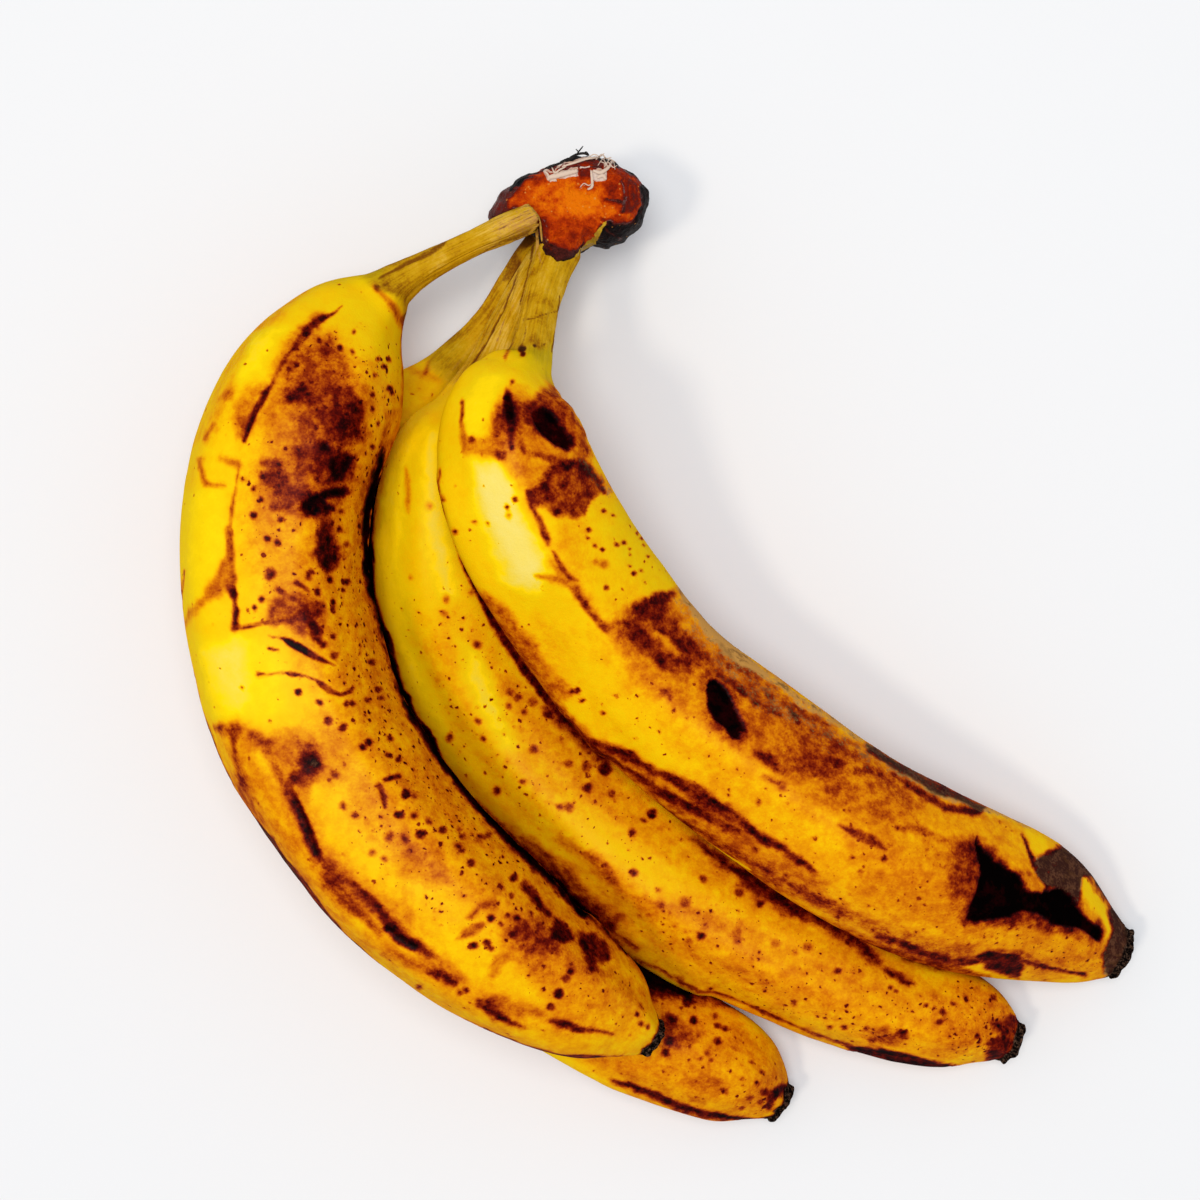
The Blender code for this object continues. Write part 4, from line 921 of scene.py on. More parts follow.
# How ripe the hidden side and the plain upper side are before any mark, and how freckled.
HIDDEN_RIPE, HIDDEN_RIPER = 0.22, 0.30
PLAIN_RIPE = 0.08
PLAIN_FRECKLES = 0.25

# Painted shade: the flank that turns away darkens to a rusty brim, at least this ripe.
SHADED_BRIM_RIPE = 0.66

# The torn end of the stalk: its rings, how ragged it is, and how far it draws in under the crown.
FRAYED_RINGS = 12
FRAY_LENGTH = 1.3
END_DRAWS_IN = 0.45
END_RIPE = 0.9

# The crust at the blossom end: how far past the last ring, and how wide against it.
CRUST_RINGS = (
    (0.2, 1.03), (0.45, 1.07), (0.7, 1.08), (0.95, 1.03), (1.15, 0.95), (1.2, 0.86), (1.1, 0.76),
    (0.8, 0.66), (0.4, 0.56), (0.1, 0.46), (0.0, 0.36), (0.1, 0.26), (0.25, 0.15), (0.3, 0.05),
    (0.3, 0.0),
)


def make_finger(name, number, marks, around, along):
    """One finger: stalk, body and dry blossom end in one skin, with its marks in attributes."""
    rings = along + len(CRUST_RINGS) + 1
    data, grid = made_mesh(name, bmesh.ops.create_grid, x_segments=around, y_segments=rings - 1,
                           size=1.0)
    column = np.rint((grid[:, 0] + 1.0) / 2.0 * around).astype(int) % around
    ring = np.rint((grid[:, 1] + 1.0) / 2.0 * (rings - 1)).astype(int)

    route, run, onward, across, upward = finger_course(name, along)
    body_ring = np.clip(ring - 1, 0, along - 1)
    crust = np.array([(0.0, 1.0)] + list(CRUST_RINGS))[np.clip(ring - along, 0, len(CRUST_RINGS))]
    turn = math.radians(RIDGE_TURN[name])
    angle = column / around * math.tau
    angle += CLOSER_ABOVE * np.cos(angle)
    radius = route[body_ring, 3]
    body = ease(STALK_RADIUS, BODY_RADIUS, radius)
    height = STALK_HEIGHT_SHARE + (BODY_HEIGHT_SHARE - STALK_HEIGHT_SHARE) * body
    reach = section(angle, radius, turn)
    spoke = (across[body_ring] * (-np.cos(angle))[:, None]
             + upward[body_ring] * (np.sin(angle) * height)[:, None])
    centre = route[body_ring, :3]
    places = centre + spoke * reach[:, None]

    # How much each place belongs to the stalk, and how much to the crust.
    length = run[body_ring]
    neck_at = np.interp(NECK_RADIUS, route[:along // 2, 3], run[:along // 2])
    stalk = 1.0 - ease(neck_at - NECK_BEFORE, neck_at + NECK_AFTER,
                       length + 3.0 * lattice_noise(places, 5.0, 3))
    crusted = ease(run[-1] - CRUST_STARTS, run[-1] - CRUST_WHOLE,
                   length + 1.6 * rough_noise(places, 3.0, number + 40))

    # Lengthwise wrinkles on the stalk, wide dents and fine unevenness on the body.
    wrap = np.stack([np.cos(angle) * 3.0, np.sin(angle) * 3.0, length * 0.07], 1)
    wrinkle = rough_noise(wrap, 0.9, number + 11)
    wrinkle = -np.abs(wrinkle) + 0.3
    dents = (WIDE_DENTS * lattice_noise(places, 14.0, number)
             + SMALL_DENTS * lattice_noise(places, 5.0, number + 5))
    relief = (stalk * ((0.4 + 0.5 * FIBROUS_STALK[name]) * wrinkle) + (1.0 - stalk) * dents
              + FINE_DENTS * lattice_noise(places, 1.4, 7))
    relief += crusted * CRUST_LUMPS * rough_noise(places, 1.6, number + 21)

    # The marks, seen from above; on the side that turns away their ends get more and more uneven.
    pixels = seen_pixels(places)
    unit = spoke / np.maximum(np.linalg.norm(spoke, axis=1), 1e-9)[:, None]
    upturned = unit[:, 2]
    shown = ease(-0.42, -0.12, upturned)
    relief += paint(np.zeros(len(places)), marks.get("swell", ()), pixels,
                    np.zeros((len(places), 2)), shown)
    ragged = np.stack([
        0.6 * lattice_noise(places, 5.0, number + 60 + i)
        + 0.6 * rough_noise(places, 1.8, number + 70 + i)
        for i in range(2)
    ], 1)
    ragged *= (1.0 + 4.0 * ease(0.02, -0.25, upturned))[:, None]
    edge = -0.27 + 0.16 * rough_noise(places, 7.0, number + 35)
    shown = ease(edge - 0.1, edge + 0.1, upturned)
    clouds = rough_noise(places, 16.0, number + 31)
    ripe = HIDDEN_RIPE + HIDDEN_RIPER * ease(-0.1, 0.5, clouds) + 0.1 * (1.0 - shown)
    ripe = ripe * (1.0 - shown) + PLAIN_RIPE * shown
    values = {"ripe": paint(ripe, marks["ripe"], pixels, ragged, shown)}
    for layer in ("freckle", "grey", "green", "fibrous"):
        start = np.full(len(places), FIBROUS_STALK[name] if layer == "fibrous" else 0.0)
        if layer == "freckle":
            start = PLAIN_FRECKLES + PLAIN_FRECKLES * (1.0 - shown)
        cover = shown * ease(edge, edge + 0.25, upturned) if layer == "grey" else shown
        values[layer] = paint(start, marks.get(layer, ()), pixels, ragged, cover)
    black = ease(0.9, 1.02, values["ripe"])
    relief -= BLACK_SINKS * black * (1.0 - crusted)
    relief -= BROWN_SINKS * ease(0.55, 0.8, values["ripe"])
    crust_ripe = crusted * (0.94 + 0.12 * lattice_noise(places, 1.5, 9))
    values["ripe"] = np.where(crusted > 0.0, np.maximum(values["ripe"], crust_ripe), values["ripe"])
    # Painted shade on the flank that turns away.
    shaded_brim = ease(0.17, -0.02, upturned) * ease(-0.35, -0.1, upturned) * (1.0 - stalk)
    shaded_brim *= 0.55 + 0.35 * rough_noise(places, 9.0, number + 33)
    values["ripe"] += np.maximum(SHADED_BRIM_RIPE - values["ripe"], 0.0) * shaded_brim
    # The painted shade of the crevice and the seam lies over all other marks.
    values["ripe"] = paint(values["ripe"], CREVICE_SHADE + SEAM_SHADOW, pixels, ragged, shown)
    values["ripe"] = np.where(ring == 0, END_RIPE, values["ripe"])
    values["stalk"] = stalk
    values["crust"] = crusted

    # The skin with its relief, the crust at one end and the torn stalk at the other.
    places = centre + (spoke * reach[:, None] + unit * relief[:, None]) * crust[:, 1:2]
    wheel = np.stack([np.cos(angle) * 4, np.sin(angle) * 4, crust[:, 1] * 3], 1)
    jagged = 0.45 * lattice_noise(wheel, 1.0, number + 50)
    past = crust[:, 0] * CRUST_LENGTH + np.where(ring >= along, jagged * crust[:, 1], 0.0)
    places += onward[body_ring] * past[:, None]
    frayed = 1.0 - ease(0.0, FRAYED_RINGS, ring.astype(float))
    fray = lattice_noise(wheel * np.array([1.0, 1.0, 0.0]), 1.0, number)
    places += onward[body_ring] * (FRAY_LENGTH * fray * frayed)[:, None]
    if name == "plantain_left":
        flap = ease(-0.1, 0.8, np.sin(angle)) * frayed
        places -= onward[body_ring] * (flap * (1.9 + 2.2 * fray))[:, None]
        places[:, 2] -= 0.9 * flap * frayed
    else:
        places -= spoke * (reach * END_DRAWS_IN * frayed)[:, None]
    places[ring == 0] = route[0, :3] + onward[0] * 1.2
    places[:, 2] = np.maximum(places[:, 2], 0.0)
    data.vertices.foreach_set("co", (places * MM).astype(np.float32).ravel())
    keep_layers(data, values)
    growth = np.stack([np.cos(angle) * 8.0, np.sin(angle) * 8.0, length], 1)
    attribute = data.attributes.new("growth", "FLOAT_VECTOR", "POINT")
    attribute.data.foreach_set("vector", growth.astype(np.float32).ravel())
    return finish_skin(name, data)


def finish_skin(name, data):
    """Closes the seam and the poles of a rolled skin and turns its faces outward."""
    mesh = bmesh.new()
    mesh.from_mesh(data)
    bmesh.ops.remove_doubles(mesh, verts=mesh.verts[:], dist=1e-6)
    bmesh.ops.dissolve_degenerate(mesh, edges=mesh.edges[:], dist=1e-7)
    bmesh.ops.recalc_face_normals(mesh, faces=mesh.faces[:])
    mesh.to_mesh(data)
    mesh.free()
    data.shade_smooth()
    return put_down(name, data)


class Link:
    """A socket of a finish that can stand in a sum as a number does."""

    def __init__(self, finish, socket):
        self.finish = finish
        self.socket = socket

    def __add__(self, other):
        return self.finish.math("ADD", self, other)

    __radd__ = __add__

    def __sub__(self, other):
        return self.finish.math("SUBTRACT", self, other)

    def __rsub__(self, other):
        return self.finish.math("SUBTRACT", other, self)

    def __mul__(self, other):
        return self.finish.math("MULTIPLY", self, other)

    __rmul__ = __mul__


class Finish:
    """The material of one surface, built node by node."""

    def __init__(self, name):
        self.material = bpy.data.materials.new(name)
        self.material.use_nodes = True
        self.tree = self.material.node_tree
        self.shader = self.tree.nodes["Principled BSDF"]

    def node(self, kind, settings=None, inputs=None, output=0):
        """A node of this type: its settings come first, then values or links for its sockets."""
        made = self.tree.nodes.new(kind)
        for key, value in (settings or {}).items():
            if key == "stops":
                self.set_stops(made.color_ramp, value)
            else:
                setattr(made, key, value)
        for key, value in (inputs or {}).items():
            self.feed(self.find(made.inputs, key), value)
        return Link(self, self.find(made.outputs, output))

    @staticmethod
    def find(sockets, key):
        if isinstance(key, int):
            return sockets[key]
        return next(socket for socket in sockets if key in (socket.identifier, socket.name))

    @staticmethod
    def set_stops(ramp, stops):
        while len(ramp.elements) > 1:
            ramp.elements.remove(ramp.elements[-1])
        ramp.elements[0].position, ramp.elements[0].color = stops[0][0], (*stops[0][1], 1.0)
        for position, colour in stops[1:]:
            ramp.elements.new(position).color = (*colour, 1.0)

    def feed(self, socket, value):
        if isinstance(value, Link):
            self.tree.links.new(value.socket, socket)
        elif socket.type == "RGBA":
            socket.default_value = (*value, 1.0)
        else:
            socket.default_value = value

    def math(self, operation, *values, clamp=False):
        settings = {"operation": operation, "use_clamp": clamp}
        return self.node("ShaderNodeMath", settings, dict(enumerate(values)))

    def larger(self, one, other):
        return self.math("MAXIMUM", one, other)

    def rise(self, value, low, high, top=1.0):
        """Rises smoothly from 0 where the value is low to top where it is high."""
        return self.node("ShaderNodeMapRange", {"interpolation_type": "SMOOTHSTEP"},
                         {"Value": value, "From Min": low, "From Max": high, "To Max": top})

    def mix(self, share, one, other, blend="MIX"):
        return self.node("ShaderNodeMix", {"data_type": "RGBA", "blend_type": blend},
                         {"Factor_Float": share, "A_Color": one, "B_Color": other}, "Result_Color")

    def attribute(self, name):
        return self.node("ShaderNodeAttribute", {"attribute_name": name}, output="Fac")

    def stretched(self, place, scale):
        """A place, stretched by these three numbers."""
        return self.node("ShaderNodeVectorMath", {"operation": "MULTIPLY"}, {0: place, 1: scale})

    def noise(self, place, scale, detail=3.0, roughness=0.6):
        return self.node("ShaderNodeTexNoise", {}, {"Vector": place, "Scale": scale,
                                                    "Detail": detail, "Roughness": roughness})

    def dots(self, place, scale, share, size):
        """Round dots of uneven size and depth in this share of the cells: cores and halos."""
        cell = self.node("ShaderNodeTexVoronoi", {}, {"Vector": place, "Scale": scale})
        tint = Link(self, cell.socket.node.outputs["Color"])
        split = self.node("ShaderNodeSeparateColor", {}, {0: tint}).socket.node.outputs
        chance, width, depth = (Link(self, socket) for socket in split)
        wide = width * size + size * 0.35
        there = self.rise(share - chance, 0.0, 0.05)
        core = self.rise(wide - cell, -0.03, 0.05) * there * (depth * 0.35 + 0.65)
        return core, self.rise(wide * 2.0 - cell, 0.0, 0.25) * there


# How bright white shows under the studio light.
STUDIO_LIGHT = 1.15


def linear(*levels):
    """The colour that shows as these levels, 255 for white, when the studio light falls on it."""
    light = (((level / 255) + 0.055) ** 2.4 / 1.055 ** 2.4 if level > 10 else level / 3294.6
             for level in levels)
    return tuple(level / STUDIO_LIGHT for level in light)


# The peel's colour against how ripe it is, from pale through yellow, orange and rust to black; the
# same scale paints shade, and its pale end paints highlights.
RIPE_LOW, RIPE_HIGH = -0.3, 1.2
RIPE_COLOURS = (
    (-0.3, linear(253, 230, 118)),
    (-0.12, linear(253, 220, 52)),
    # Brighter than plain yellow: painted light for the flank that the left finger shades.
    (-0.05, linear(266, 224, 8)),
    (0.0, linear(253, 212, 6)),
    (0.12, linear(253, 196, 3)),
    (0.26, linear(244, 162, 3)),
    (0.4, linear(222, 124, 4)),
    (0.52, linear(190, 86, 4)),
    (0.64, linear(150, 48, 4)),
    (0.76, linear(108, 16, 3)),
    (0.88, linear(66, 4, 3)),
    (1.0, linear(28, 2, 3)),
    (1.15, linear(4, 2, 2)),
)


def peel_finish(name, seed):
    """Ripe peel: its marks from the piece's own attributes, broken up by fibres and freckles."""
    finish = Finish(name)
    place = finish.node("ShaderNodeTexCoord", output="Object")
    place = finish.node("ShaderNodeVectorMath", {"operation": "ADD"},
                        {0: place, 1: (seed * 0.31, seed * 0.17, 0.0)})
    growth = finish.node("ShaderNodeAttribute", {"attribute_name": "growth"}, output="Vector")
    ripe, freckle, grey, green, stalk, crust = (
        finish.attribute(layer) for layer in ("ripe", "freckle", "grey", "green", "stalk", "crust"))

    cloud = finish.noise(place, 150.0, 5.0, 0.6) - 0.5
    blot = finish.noise(place, 430.0, 4.0, 0.6) - 0.5
    patchy = finish.rise(blot + cloud * 0.4, -0.12, 0.14) - 0.5
    grain = finish.noise(place, 1700.0, 2.0, 0.6) - 0.5
    fibre = finish.noise(finish.stretched(growth, (0.9, 0.9, 0.28)), 1.0, 4.0, 0.65) - 0.5
    turning = finish.rise(ripe, -0.04, 0.36)
    dark = finish.rise(ripe, 0.35, 0.6) * finish.rise(ripe, 1.1, 0.9)
    body = 1.0 - stalk
    mottled = ripe + cloud * (0.10 + 0.38 * turning) * body
    mottled = mottled + blot * (0.08 + 0.24 * turning + 0.16 * dark) * body
    mottled = mottled + patchy * (0.03 * turning + 0.06 * dark) * body
    mottled = mottled + grain * (0.04 + 0.14 * turning + 0.12 * dark) * body
    mottled = mottled + fibre * (0.03 + 0.18 * turning) * body

    bent = finish.node("ShaderNodeTexNoise", {}, {"Vector": place, "Scale": 900.0, "Detail": 2.0},
                       "Color")
    bent = finish.node("ShaderNodeVectorMath", {"operation": "MULTIPLY_ADD"},
                       {0: bent, 1: (0.0012, 0.0012, 0.0012), 2: place})
    density = freckle + cloud * 1.2
    pores, _ = finish.dots(bent, 1250.0, density * 0.4 - 0.08, 0.22)
    fine, fine_halo = finish.dots(bent, 600.0, density * 0.6 - 0.07, 0.21)
    bold, bold_halo = finish.dots(bent, 300.0, density * 0.34 - 0.05, 0.17)
    dotted = finish.larger(finish.larger(fine, bold), pores * 0.7) * body
    mottled = mottled + (fine_halo + bold_halo) * 0.14 * body
    lacking = finish.larger(finish.rise(freckle, 0.2, 1.0) * 0.3 + 0.6 - mottled, 0.0)
    tone = mottled + lacking * dotted

    span = RIPE_HIGH - RIPE_LOW
    stops = [((level - RIPE_LOW) / span, colour) for level, colour in RIPE_COLOURS]
    colour = finish.node("ShaderNodeValToRGB", {"stops": stops},
                         {0: (tone - RIPE_LOW) * (1.0 / span)})

    fibrous = finish.attribute("fibrous")
    ribs = finish.noise(finish.stretched(growth, (0.9, 0.9, 0.09)), 1.0, 5.0, 0.68) - 0.5
    stem = finish.node("ShaderNodeValToRGB", {"stops": (
        (0.26, linear(104, 54, 6)), (0.38, linear(164, 106, 8)), (0.49, linear(202, 150, 10)),
        (0.58, linear(212, 162, 22)), (0.74, linear(232, 186, 70)),
    )}, {0: ribs * (0.26 + fibrous * 0.9) + grain * 0.2 + cloud * 0.8 + fibrous * 0.12 + 0.5})
    stem = finish.mix(finish.rise(green, 0.0, 1.0, 0.6), stem, linear(200, 176, 8))
    scar = finish.mix(finish.rise(ripe, 0.6, 0.95), linear(132, 76, 8), linear(52, 24, 10))
    stem = finish.mix(finish.rise(ripe + ribs * 0.4 + grain * 0.4, 0.36, 0.72), stem, scar)
    colour = finish.mix(green * finish.rise(tone, 0.6, 0.3) * 0.5, colour, linear(214, 188, 4))
    colour = finish.mix(finish.rise(stalk + fibre * 0.5, 0.25, 0.75), colour, stem)

    worn = finish.rise(grey + fibre * 1.2 + grain * 0.8, 0.3, 0.75)
    ash = finish.mix(finish.rise(blot + grain * 0.6, -0.1, 0.2),
                     linear(56, 26, 18), linear(98, 60, 40))
    tan = finish.mix(finish.rise(ripe + blot * 0.3, 0.4, 0.85), linear(206, 148, 72), ash)
    tan = finish.mix(finish.rise(fibre, 0.02, 0.16, 0.6), tan, linear(84, 50, 24))
    colour = finish.mix(worn, colour, tan)
    crumb = finish.mix(finish.rise(finish.noise(place, 1300.0, 3.0, 0.7), 0.45, 0.75),
                       linear(9, 6, 6), linear(112, 84, 66))
    colour = finish.mix(finish.rise(crust, 0.5, 0.95), colour, crumb)
    finish.feed(finish.shader.inputs["Base Color"], colour)

    black = finish.rise(tone, 0.86, 1.02)
    rough = 0.46 + 0.10 * turning + grain * 0.12 + stalk * 0.12 + crust * 0.2 - black * 0.12
    finish.feed(finish.shader.inputs["Roughness"], rough)
    finish.feed(finish.shader.inputs["Specular IOR Level"], 0.0)
    moist = finish.rise(ripe, 1.05, 0.9) * (1.0 - crust) * 0.06
    finish.feed(finish.shader.inputs["Coat Weight"], moist)
    finish.feed(finish.shader.inputs["Coat Roughness"], 0.4)

    height = grain * 0.35 + cloud * 0.5 + ribs * stalk * (0.6 + fibrous * 1.8)
    height = height - dotted * 0.35 + crust * grain * 3.0
    height = height - finish.rise(tone, 0.5, 0.9) * (0.4 + grain)
    bump = finish.node("ShaderNodeBump", {},
                       {"Height": height, "Strength": 0.55, "Distance": 0.0004})
    finish.feed(finish.shader.inputs["Normal"], bump)
    return finish.material


# The crown: its centre in millimetres, and how far it reaches from there at each angle in degrees.
CROWN_CENTRE = (-23.9, 107.7, 28.0)
CROWN_REACH = (
    (11.0, 18.6), (20.0, 17.4), (40.0, 15.0), (60.0, 13.2), (82.0, 12.0), (107.0, 11.0),
    (135.0, 11.6), (161.0, 15.8), (174.0, 18.6), (188.0, 20.8), (205.0, 12.5), (221.0, 11.9),
    (235.0, 13.5), (253.0, 14.8), (265.0, 14.4), (280.0, 10.8), (297.0, 10.2), (314.0, 13.2),
    (330.0, 15.2), (347.0, 17.2), (371.0, 18.6),
)
CROWN_HALF_HEIGHT = 14.0
CROWN_CUT_HEIGHT = 11.5
CROWN_SIDE_FULLNESS = 0.7
CROWN_END_FULLNESS = 0.8
RIM_FLESH = 0.14
CUT_SINKS = 0.8

# Where the tongue of flesh ends over the right stalk, how much further the crown reaches there,
# and where the top of that stalk runs, by rows of pixels, with its height in millimetres.
TONGUE = ((538, 226), (539, 240), (543, 256), (556, 267), (566, 265), (577, 258), (592, 246),
          (597, 228), (570, 218))
TONGUE_REACH = 3.4
STALK_TOP_ROWS = (226.0, 246.0, 267.0)
STALK_TOP_COLUMNS = (570.0, 561.0, 551.0)
STALK_TOP_HEIGHTS = (38.4, 40.2, 43.0)
TONGUE_THICKNESS = 1.3
TONGUE_DROOP = 3.6


def make_crown():
    """The cut crown: a lumpy cushion with a shrivelled rim, its flesh and fibres in attributes."""
    data, ball = made_mesh("cut_crown", bmesh.ops.create_icosphere, subdivisions=7, radius=1.0)
    way = ball.astype(float)
    way /= np.linalg.norm(way, axis=1)[:, None]
    level = np.hypot(way[:, 0], way[:, 1])
    turned = np.degrees(np.arctan2(way[:, 1], way[:, 0])) % 360.0
    turned = np.where(turned < CROWN_REACH[0][0], turned + 360.0, turned)
    listed = np.array(CROWN_REACH)
    span = np.clip(np.searchsorted(listed[:, 0], turned) - 1, 0, len(listed) - 2)
    share = ease(0.0, 1.0, (turned - listed[span, 0]) / (listed[span + 1, 0] - listed[span, 0]))
    reach = listed[span, 1] + (listed[span + 1, 1] - listed[span, 1]) * share
    tongue = ease(218.0, 240.0, turned) * ease(290.0, 268.0, turned) * ease(0.1, 0.45, way[:, 2])
    reach = reach + TONGUE_REACH * tongue
    high = np.copysign(np.abs(way[:, 2]) ** CROWN_END_FULLNESS, way[:, 2]) * CROWN_HALF_HEIGHT
    high = np.minimum(high, CROWN_CUT_HEIGHT)
    out = way[:, :2] / np.maximum(level, 1e-9)[:, None]
    flat = out * (reach * level ** CROWN_SIDE_FULLNESS)[:, None]
    places = np.column_stack([flat, high]) + CROWN_CENTRE

    pixels = seen_pixels(places)
    shown = ease(-0.3, 0.1, way[:, 2])
    ragged = np.stack([rough_noise(places, 1.6, 90 + i) for i in range(2)], 1) * 1.6
    flesh = paint(np.full(len(places), RIM_FLESH), CROWN_FLESH, pixels, ragged, shown)
    fibre = paint(np.zeros(len(places)), CROWN_FIBRE, pixels, ragged, shown)
    rim = 1.0 - ease(0.25, 0.5, flesh)
    relief = 0.5 * rough_noise(places, 7.0, 81) + 0.35 * rough_noise(places, 2.2, 82)
    relief += rim * (0.5 * rough_noise(places, 2.6, 84) - 0.1) + 0.35 * fibre
    relief -= CUT_SINKS * ease(0.5, 0.8, flesh) * ease(0.5, 0.9, way[:, 2])
    relief += 0.22 * rough_noise(places, 0.9, 88) * ease(0.2, 0.6, flesh)
    places += way * relief[:, None]

    # A tongue of flesh lies over the stalk of the right finger, as high as that and a little more.
    over = 1.0 - ease(-3.0, 3.0, distance_outside("patch", TONGUE, pixels + ragged * 2.0))
    middle = np.interp(pixels[:, 1], STALK_TOP_ROWS, STALK_TOP_COLUMNS)
    top = np.interp(pixels[:, 1], STALK_TOP_ROWS, STALK_TOP_HEIGHTS)
    top += TONGUE_THICKNESS - TONGUE_DROOP * ((pixels[:, 0] - middle) / 20.0) ** 2
    top += 0.3 * rough_noise(places, 2.0, 86)
    places[:, 2] += np.maximum(top - places[:, 2], 0.0) * over * (way[:, 2] > 0.0)
    data.vertices.foreach_set("co", (places * MM).astype(np.float32).ravel())
    peel = paint(np.zeros(len(places)), CROWN_PEEL, pixels, ragged * 0.5, shown)
    keep_layers(data, {"flesh": flesh, "fibre": fibre, "peel": peel})
    data.shade_smooth()
    return put_down("cut_crown", data)


# The colour of the crown against how bright its flesh is.
FLESH_COLOURS = (
    (0.0, linear(4, 3, 4)),
    (0.15, linear(28, 16, 17)),
    (0.3, linear(80, 28, 20)),
    (0.45, linear(108, 22, 10)),
    (0.6, linear(158, 38, 4)),
    (0.75, linear(204, 66, 3)),
    (0.88, linear(230, 98, 4)),
    (1.0, linear(246, 122, 4)),
)


def crown_finish():
    """Dried cut flesh: orange in the middle, maroon and black round the rim, moist in places."""
    finish = Finish("cut_flesh")
    place = finish.node("ShaderNodeTexCoord", output="Object")
    flesh, fibre = finish.attribute("flesh"), finish.attribute("fibre")
    cloud = finish.noise(place, 420.0, 4.0, 0.65) - 0.5
    grain = finish.noise(place, 1800.0, 3.0, 0.7) - 0.5
    peel = finish.attribute("peel")
    lump = finish.noise(place, 210.0, 3.0, 0.55) - 0.5
    tone = flesh + cloud * 0.5 + grain * 0.34 + lump * 0.5 * finish.rise(flesh, 0.5, 0.7)
    colour = finish.node("ShaderNodeValToRGB", {"stops": FLESH_COLOURS}, {0: tone})
    specks, _ = finish.dots(place, 1100.0, finish.rise(flesh, 0.6, 0.9) * 0.4 + lump * 2.0, 0.26)
    colour = finish.mix(specks * 0.7, colour, linear(238, 160, 70))
    colour = finish.mix(finish.rise(peel + grain * 0.4, 0.4, 0.6), colour, linear(208, 164, 40))
    pale = finish.mix(finish.rise(cloud, -0.1, 0.15), linear(222, 176, 150), linear(244, 222, 206))
    colour = finish.mix(finish.rise(fibre + grain * 0.5, 0.35, 0.6), colour, pale)
    finish.feed(finish.shader.inputs["Base Color"], colour)
    moist = finish.rise(tone, 0.24, 0.34) * finish.rise(tone, 0.5, 0.4)
    finish.feed(finish.shader.inputs["Roughness"], 0.5 + grain * 0.3 + fibre * 0.2 - moist * 0.2)
    finish.feed(finish.shader.inputs["Coat Weight"], moist * 0.14)
    finish.feed(finish.shader.inputs["Coat Roughness"], 0.18)
    finish.feed(finish.shader.inputs["Specular IOR Level"], 0.03)
    bump = finish.node("ShaderNodeBump", {},
                       {"Height": cloud + lump + grain * 0.7, "Strength": 0.9, "Distance": 0.0009})
    finish.feed(finish.shader.inputs["Normal"], bump)
    return finish.material


# Half the thickness of a dry shred and how far it waves, in millimetres. Its height is looked for
# from above everything, and is that of the crown's edge where it starts beside the crown.
SHRED_THICKNESS = 0.12
SHRED_WAVE = 0.25
ABOVE_ALL = 70.0
EDGE_HEIGHT = 38.0


def make_shreds(name, lines, ground):
    """Dry shreds in one mesh, each a thin flattened tube along pixels on top of the ground."""
    mesh = bmesh.new()
    for half_width, lift, pixels in lines:
        path = []
        for u, v in smooth_line(pixels, 6):
            start = place_of_pixel((u, v), ABOVE_ALL) * MM
            hit = ground.ray_cast(start, place_of_pixel((u, v), 0.0) * MM - start)[0]
            height = path[-1].z / MM if path else EDGE_HEIGHT
            path.append(hit if hit else place_of_pixel((u, v), height) * MM)
        path = [place + Vector((0.0, 0.0, (lift + SHRED_WAVE * math.sin(3.1 * i)) * MM))
                for i, place in enumerate(path)]
        ring = None
        for i, place in enumerate(path):
            ahead = (path[min(i + 1, len(path) - 1)] - path[max(i - 1, 0)]).normalized()
            facing = ahead.to_track_quat("Z", "Y").to_matrix().to_4x4()
            taper = 0.35 + 0.65 * math.sin(math.pi * (i + 0.5) / len(path)) ** 0.5
            shape = (Matrix.Translation(place) @ facing
                     @ Matrix.Diagonal((half_width * taper * MM, SHRED_THICKNESS * MM, 1.0, 1.0)))
            made = bmesh.ops.create_circle(mesh, cap_ends=i in (0, len(path) - 1), segments=6,
                                           radius=1.0, matrix=shape)["verts"]
            edges = list({edge for vertex in made for edge in vertex.link_edges})
            if ring:
                bmesh.ops.bridge_loops(mesh, edges=ring + edges)
            ring = edges
    bmesh.ops.recalc_face_normals(mesh, faces=mesh.faces[:])
    data = bpy.data.meshes.new(name)
    mesh.to_mesh(data)
    mesh.free()
    data.shade_smooth()
    return put_down(name, data)


# Each shred: half its width and its height over the crown in millimetres, and its pixels.
PALE_SHREDS = (
    (0.75, 0.5, ((548, 178), (556, 176), (568, 173), (578, 171))),
    (0.3, 0.5, ((544, 171), (548, 175), (549, 181))),
    (0.25, 0.6, ((552, 168), (555, 173), (560, 170), (566, 167))),
    (0.3, 0.6, ((562, 167), (575, 163), (588, 159), (600, 158))),
    (0.35, 0.6, ((591, 171), (592, 179), (592, 187), (588, 190))),
    (0.5, 0.7, ((593, 171), (600, 173), (606, 170), (611, 165))),
    (0.5, 0.6, ((597, 178), (603, 176), (606, 180))),
    (0.2, 0.8, ((596, 160), (602, 155), (606, 159), (611, 158))),
    (0.16, 0.9, ((600, 162), (606, 164), (610, 160), (616, 163))),
    (0.16, 0.9, ((604, 168), (608, 163), (613, 168), (617, 166))),
    (0.16, 0.8, ((588, 158), (594, 155), (600, 157), (604, 154))),
    (0.14, 1.0, ((598, 166), (603, 160), (608, 167), (613, 162), (615, 170))),
    (0.14, 0.8, ((580, 188), (584, 184), (589, 186), (594, 182))),
)
PEEL_SHREDS = (
    (0.55, 0.9, ((534, 222), (537, 232), (538, 244), (536, 258), (531, 270))),
    (0.3, 1.0, ((540, 221), (541, 230), (542, 242))),
    (0.3, 1.6, ((521, 209), (527, 206), (533, 211), (538, 217), (540, 222))),
)
